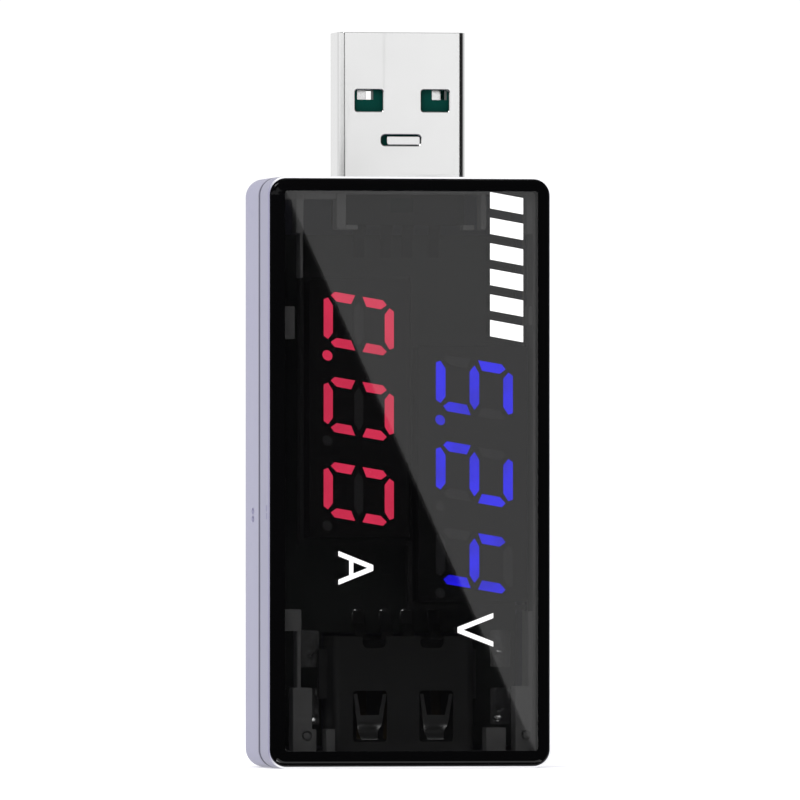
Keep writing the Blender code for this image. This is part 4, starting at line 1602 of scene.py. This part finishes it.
def place_camera(settings):
    aim = aim_point()
    rise = settings.camera_height - aim.z
    flat = (settings.distance**2 - rise**2) ** 0.5
    eye = aim + Vector((sin(settings.azimuth) * flat, -cos(settings.azimuth) * flat, rise))
    data = bpy.data.cameras.new("camera")
    data.lens = 610.0
    data.sensor_width = 36.0
    data.clip_start = 0.05
    data.clip_end = 20.0
    camera = bpy.data.objects.new("camera", data)
    camera.location = eye
    camera.rotation_euler = (aim - eye).to_track_quat("-Z", "Y").to_euler()
    bpy.context.scene.collection.objects.link(camera)
    bpy.context.scene.camera = camera
    return eye


def panel_light(name, matrix, width, height, radiance):
    """A rectangular softbox of a given radiance, hidden from the camera itself."""
    data = bpy.data.lights.new(name, "AREA")
    data.shape = "RECTANGLE"
    data.size = width
    data.size_y = height
    data.energy = radiance * pi * width * height
    light = bpy.data.objects.new(name, data)
    light.matrix_world = matrix
    light.visible_camera = False
    bpy.context.scene.collection.objects.link(light)


def glowing_card(name, corners, radiance):
    """A flat emitting card for reflections, hidden from the camera itself."""
    shape = bmesh.new()
    shape.faces.new([shape.verts.new(corner) for corner in corners])
    card = new_object(name, shape)
    material, graph, shader = start_material(name)
    texture = use_group(graph, grain_group(), Tone_Size=2.0)
    glow = graph.between(texture.outputs["Tone"], (0.97, 0.97, 0.97), (1.0, 1.0, 1.0))
    graph.tree.links.new(glow, shader.inputs["Emission Color"])
    shader.inputs["Emission Strength"].default_value = radiance
    shader.inputs["Base Color"].default_value = (0.0, 0.0, 0.0, 1.0)
    shader.inputs["Specular IOR Level"].default_value = 0.0
    card.data.materials.append(material)
    card.visible_camera = False
    card.visible_shadow = False
    return card


def mirrored(eye, x, z, depth):
    """Where the camera's ray goes after it meets the window at a point, at a given depth."""
    plane = WINDOW_LOW.y
    behind = Vector((eye.x, 2 * plane - eye.y, eye.z))
    seen = Vector((x, plane, z))
    return behind + (seen - behind) * ((depth - behind.y) / (plane - behind.y))


def place_softbox(eye, settings):
    """The panel mirrored in the window and the plug, one edge on the window's diagonal."""
    depth = -0.50
    side_edge, plug_edge, left_edge, upper_edge = 0.145, 0.20, -0.03, 0.14
    top = mirrored(eye, -11.65 * MM, 53.1 * MM, depth)
    bottom = mirrored(eye, 11.75 * MM, 1.4 * MM, depth)
    shoulder = mirrored(eye, 0.0, 53.9 * MM, depth).z
    along = bottom - top
    outline = (
        top - along * ((shoulder - top.z) / -along.z),
        bottom + along * 0.4,
        Vector((side_edge, depth, bottom.z - 0.03)),
        Vector((side_edge, depth, shoulder)),
        Vector((plug_edge, depth, shoulder)),
        Vector((plug_edge, depth, upper_edge)),
        Vector((left_edge, depth, upper_edge)),
        Vector((left_edge, depth, shoulder)),
    )
    glowing_card("softbox", outline, settings.softbox)
    wing = [(-0.12, -0.50), (-0.52, -0.25), (-0.52, 0.08)]
    for number, (first, second) in enumerate(zip(wing, wing[1:])):
        corners = [
            (*first, shoulder),
            (*second, shoulder),
            (*second, upper_edge),
            (*first, upper_edge),
        ]
        glowing_card(f"wing_{number}", corners, settings.softbox)


def place_bounce():
    """A low bounce strip along the bottom edge of the window."""
    half, level = 12.9 * MM, 0.1 * MM
    near, far = WINDOW_LOW.y - 0.6 * MM, WINDOW_LOW.y - 2.6 * MM
    corners = [(-half, near, level), (half, near, level), (half, far, level), (-half, far, level)]
    bounce = glowing_card("bounce", corners, 3.4)
    bounce.visible_diffuse = False


def facing(eye, target):
    """A matrix that puts a light at one point, facing another."""
    turn = (Vector(target) - Vector(eye)).to_track_quat("-Z", "Y")
    return Matrix.Translation(eye) @ turn.to_matrix().to_4x4()


def build_world(settings):
    """A white backdrop for the camera, soft light on matt surfaces, and for gloss a studio
    that is white behind the object and dark in front of it."""
    world = bpy.data.worlds.new("studio")
    world.use_nodes = True
    graph = Graph(world.node_tree)
    world.node_tree.nodes.clear()
    link = world.node_tree.links.new
    white = (1.0, 1.0, 1.0, 1.0)
    ray = graph.add("ShaderNodeLightPath")
    heading = graph.add("ShaderNodeTexCoord").outputs["Generated"]
    depth = graph.add("ShaderNodeSeparateXYZ", {"Vector": heading}).outputs["Y"]
    studio = graph.add(
        "ShaderNodeMapRange",
        {"Value": depth, "From Min": -0.35, "From Max": 0.35, "To Min": 0.015, "To Max": 0.95},
        clamp=True,
    )
    sky = graph.add("ShaderNodeBackground", {"Color": (1.0, 0.995, 1.0, 1.0), "Strength": settings.sky})
    gloss = graph.add("ShaderNodeBackground", {"Color": white, "Strength": studio.outputs["Result"]})
    seen = graph.add("ShaderNodeBackground", {"Color": white, "Strength": 1.05})
    soft = graph.add("ShaderNodeMixShader")
    link(ray.outputs["Is Glossy Ray"], soft.inputs[0])
    link(sky.outputs[0], soft.inputs[1])
    link(gloss.outputs[0], soft.inputs[2])
    whole = graph.add("ShaderNodeMixShader")
    link(ray.outputs["Is Camera Ray"], whole.inputs[0])
    link(soft.outputs[0], whole.inputs[1])
    link(seen.outputs[0], whole.inputs[2])
    end = graph.add("ShaderNodeOutputWorld")
    link(whole.outputs[0], end.inputs["Surface"])
    bpy.context.scene.world = world


def build_floor():
    shape = bmesh.new()
    bmesh.ops.create_grid(shape, x_segments=8, y_segments=8, size=3.0)
    floor = new_object("floor", shape)
    material, graph, shader = start_material("pale_floor")
    texture = use_group(graph, grain_group(), Grain_Size=300.0, Tone_Size=3.0)
    colours = graph.between(texture.outputs["Tone"], (0.88, 0.88, 0.88), (0.90, 0.90, 0.90))
    graph.tree.links.new(colours, shader.inputs["Base Color"])
    graph.tree.links.new(colours, shader.inputs["Emission Color"])
    shader.inputs["Emission Strength"].default_value = 0.30
    shader.inputs["Roughness"].default_value = 0.9
    shader.inputs["Specular IOR Level"].default_value = 0.0
    floor.data.materials.append(material)
    floor.visible_glossy = False


class METER_OT_stage(bpy.types.Operator):
    """Set up the camera, the floor and the lights"""

    bl_idname = "meter.stage"
    bl_label = "Stage"

    def execute(self, context):
        settings = context.scene.meter_stage
        eye = place_camera(settings)
        place_softbox(eye, settings)
        place_bounce()
        build_world(settings)
        build_floor()
        target = (0.0, 0.0, 0.035)
        for name, (place, width, height, radiance) in PANELS.items():
            panel_light(name, facing(place, target), width, height, radiance)
        bpy.context.scene.view_settings.view_transform = "Standard"
        return {"FINISHED"}


# Panel, registration and run


OPERATORS = (
    METER_OT_case,
    METER_OT_window,
    METER_OT_prints,
    METER_OT_displays,
    METER_OT_plug,
    METER_OT_socket,
    METER_OT_board,
    METER_OT_stage,
)
SETTINGS = {
    "meter_case": CaseSettings,
    "meter_window": WindowSettings,
    "meter_display": DisplaySettings,
    "meter_metal": MetalSettings,
    "meter_stage": StageSettings,
}


class METER_PT_looks(bpy.types.Panel):
    """Settings and steps of the meter's looks"""

    bl_idname = "METER_PT_looks"
    bl_label = "USB Power Meter"
    bl_space_type = "VIEW_3D"
    bl_region_type = "UI"
    bl_category = "Meter"

    def draw(self, context):
        for name in SETTINGS:
            group = getattr(context.scene, name)
            box = self.layout.box()
            for key in group.bl_rna.properties.keys():
                if key not in {"rna_type", "name"}:
                    box.prop(group, key)
        for operator in OPERATORS:
            self.layout.operator(operator.bl_idname)


def register():
    for name, group in SETTINGS.items():
        bpy.utils.register_class(group)
        setattr(bpy.types.Scene, name, PointerProperty(type=group))
    for made in (*OPERATORS, METER_PT_looks):
        bpy.utils.register_class(made)


def unregister():
    for made in reversed((*OPERATORS, METER_PT_looks)):
        bpy.utils.unregister_class(made)
    for name, group in SETTINGS.items():
        delattr(bpy.types.Scene, name)
        bpy.utils.unregister_class(group)


def main():
    register()
    bpy.ops.meter.stage()
    bpy.ops.meter.case()
    bpy.ops.meter.window()
    bpy.ops.meter.prints()
    bpy.ops.meter.displays()
    bpy.ops.meter.plug()
    bpy.ops.meter.socket()
    bpy.ops.meter.board()


if __name__ == "__main__":
    main()
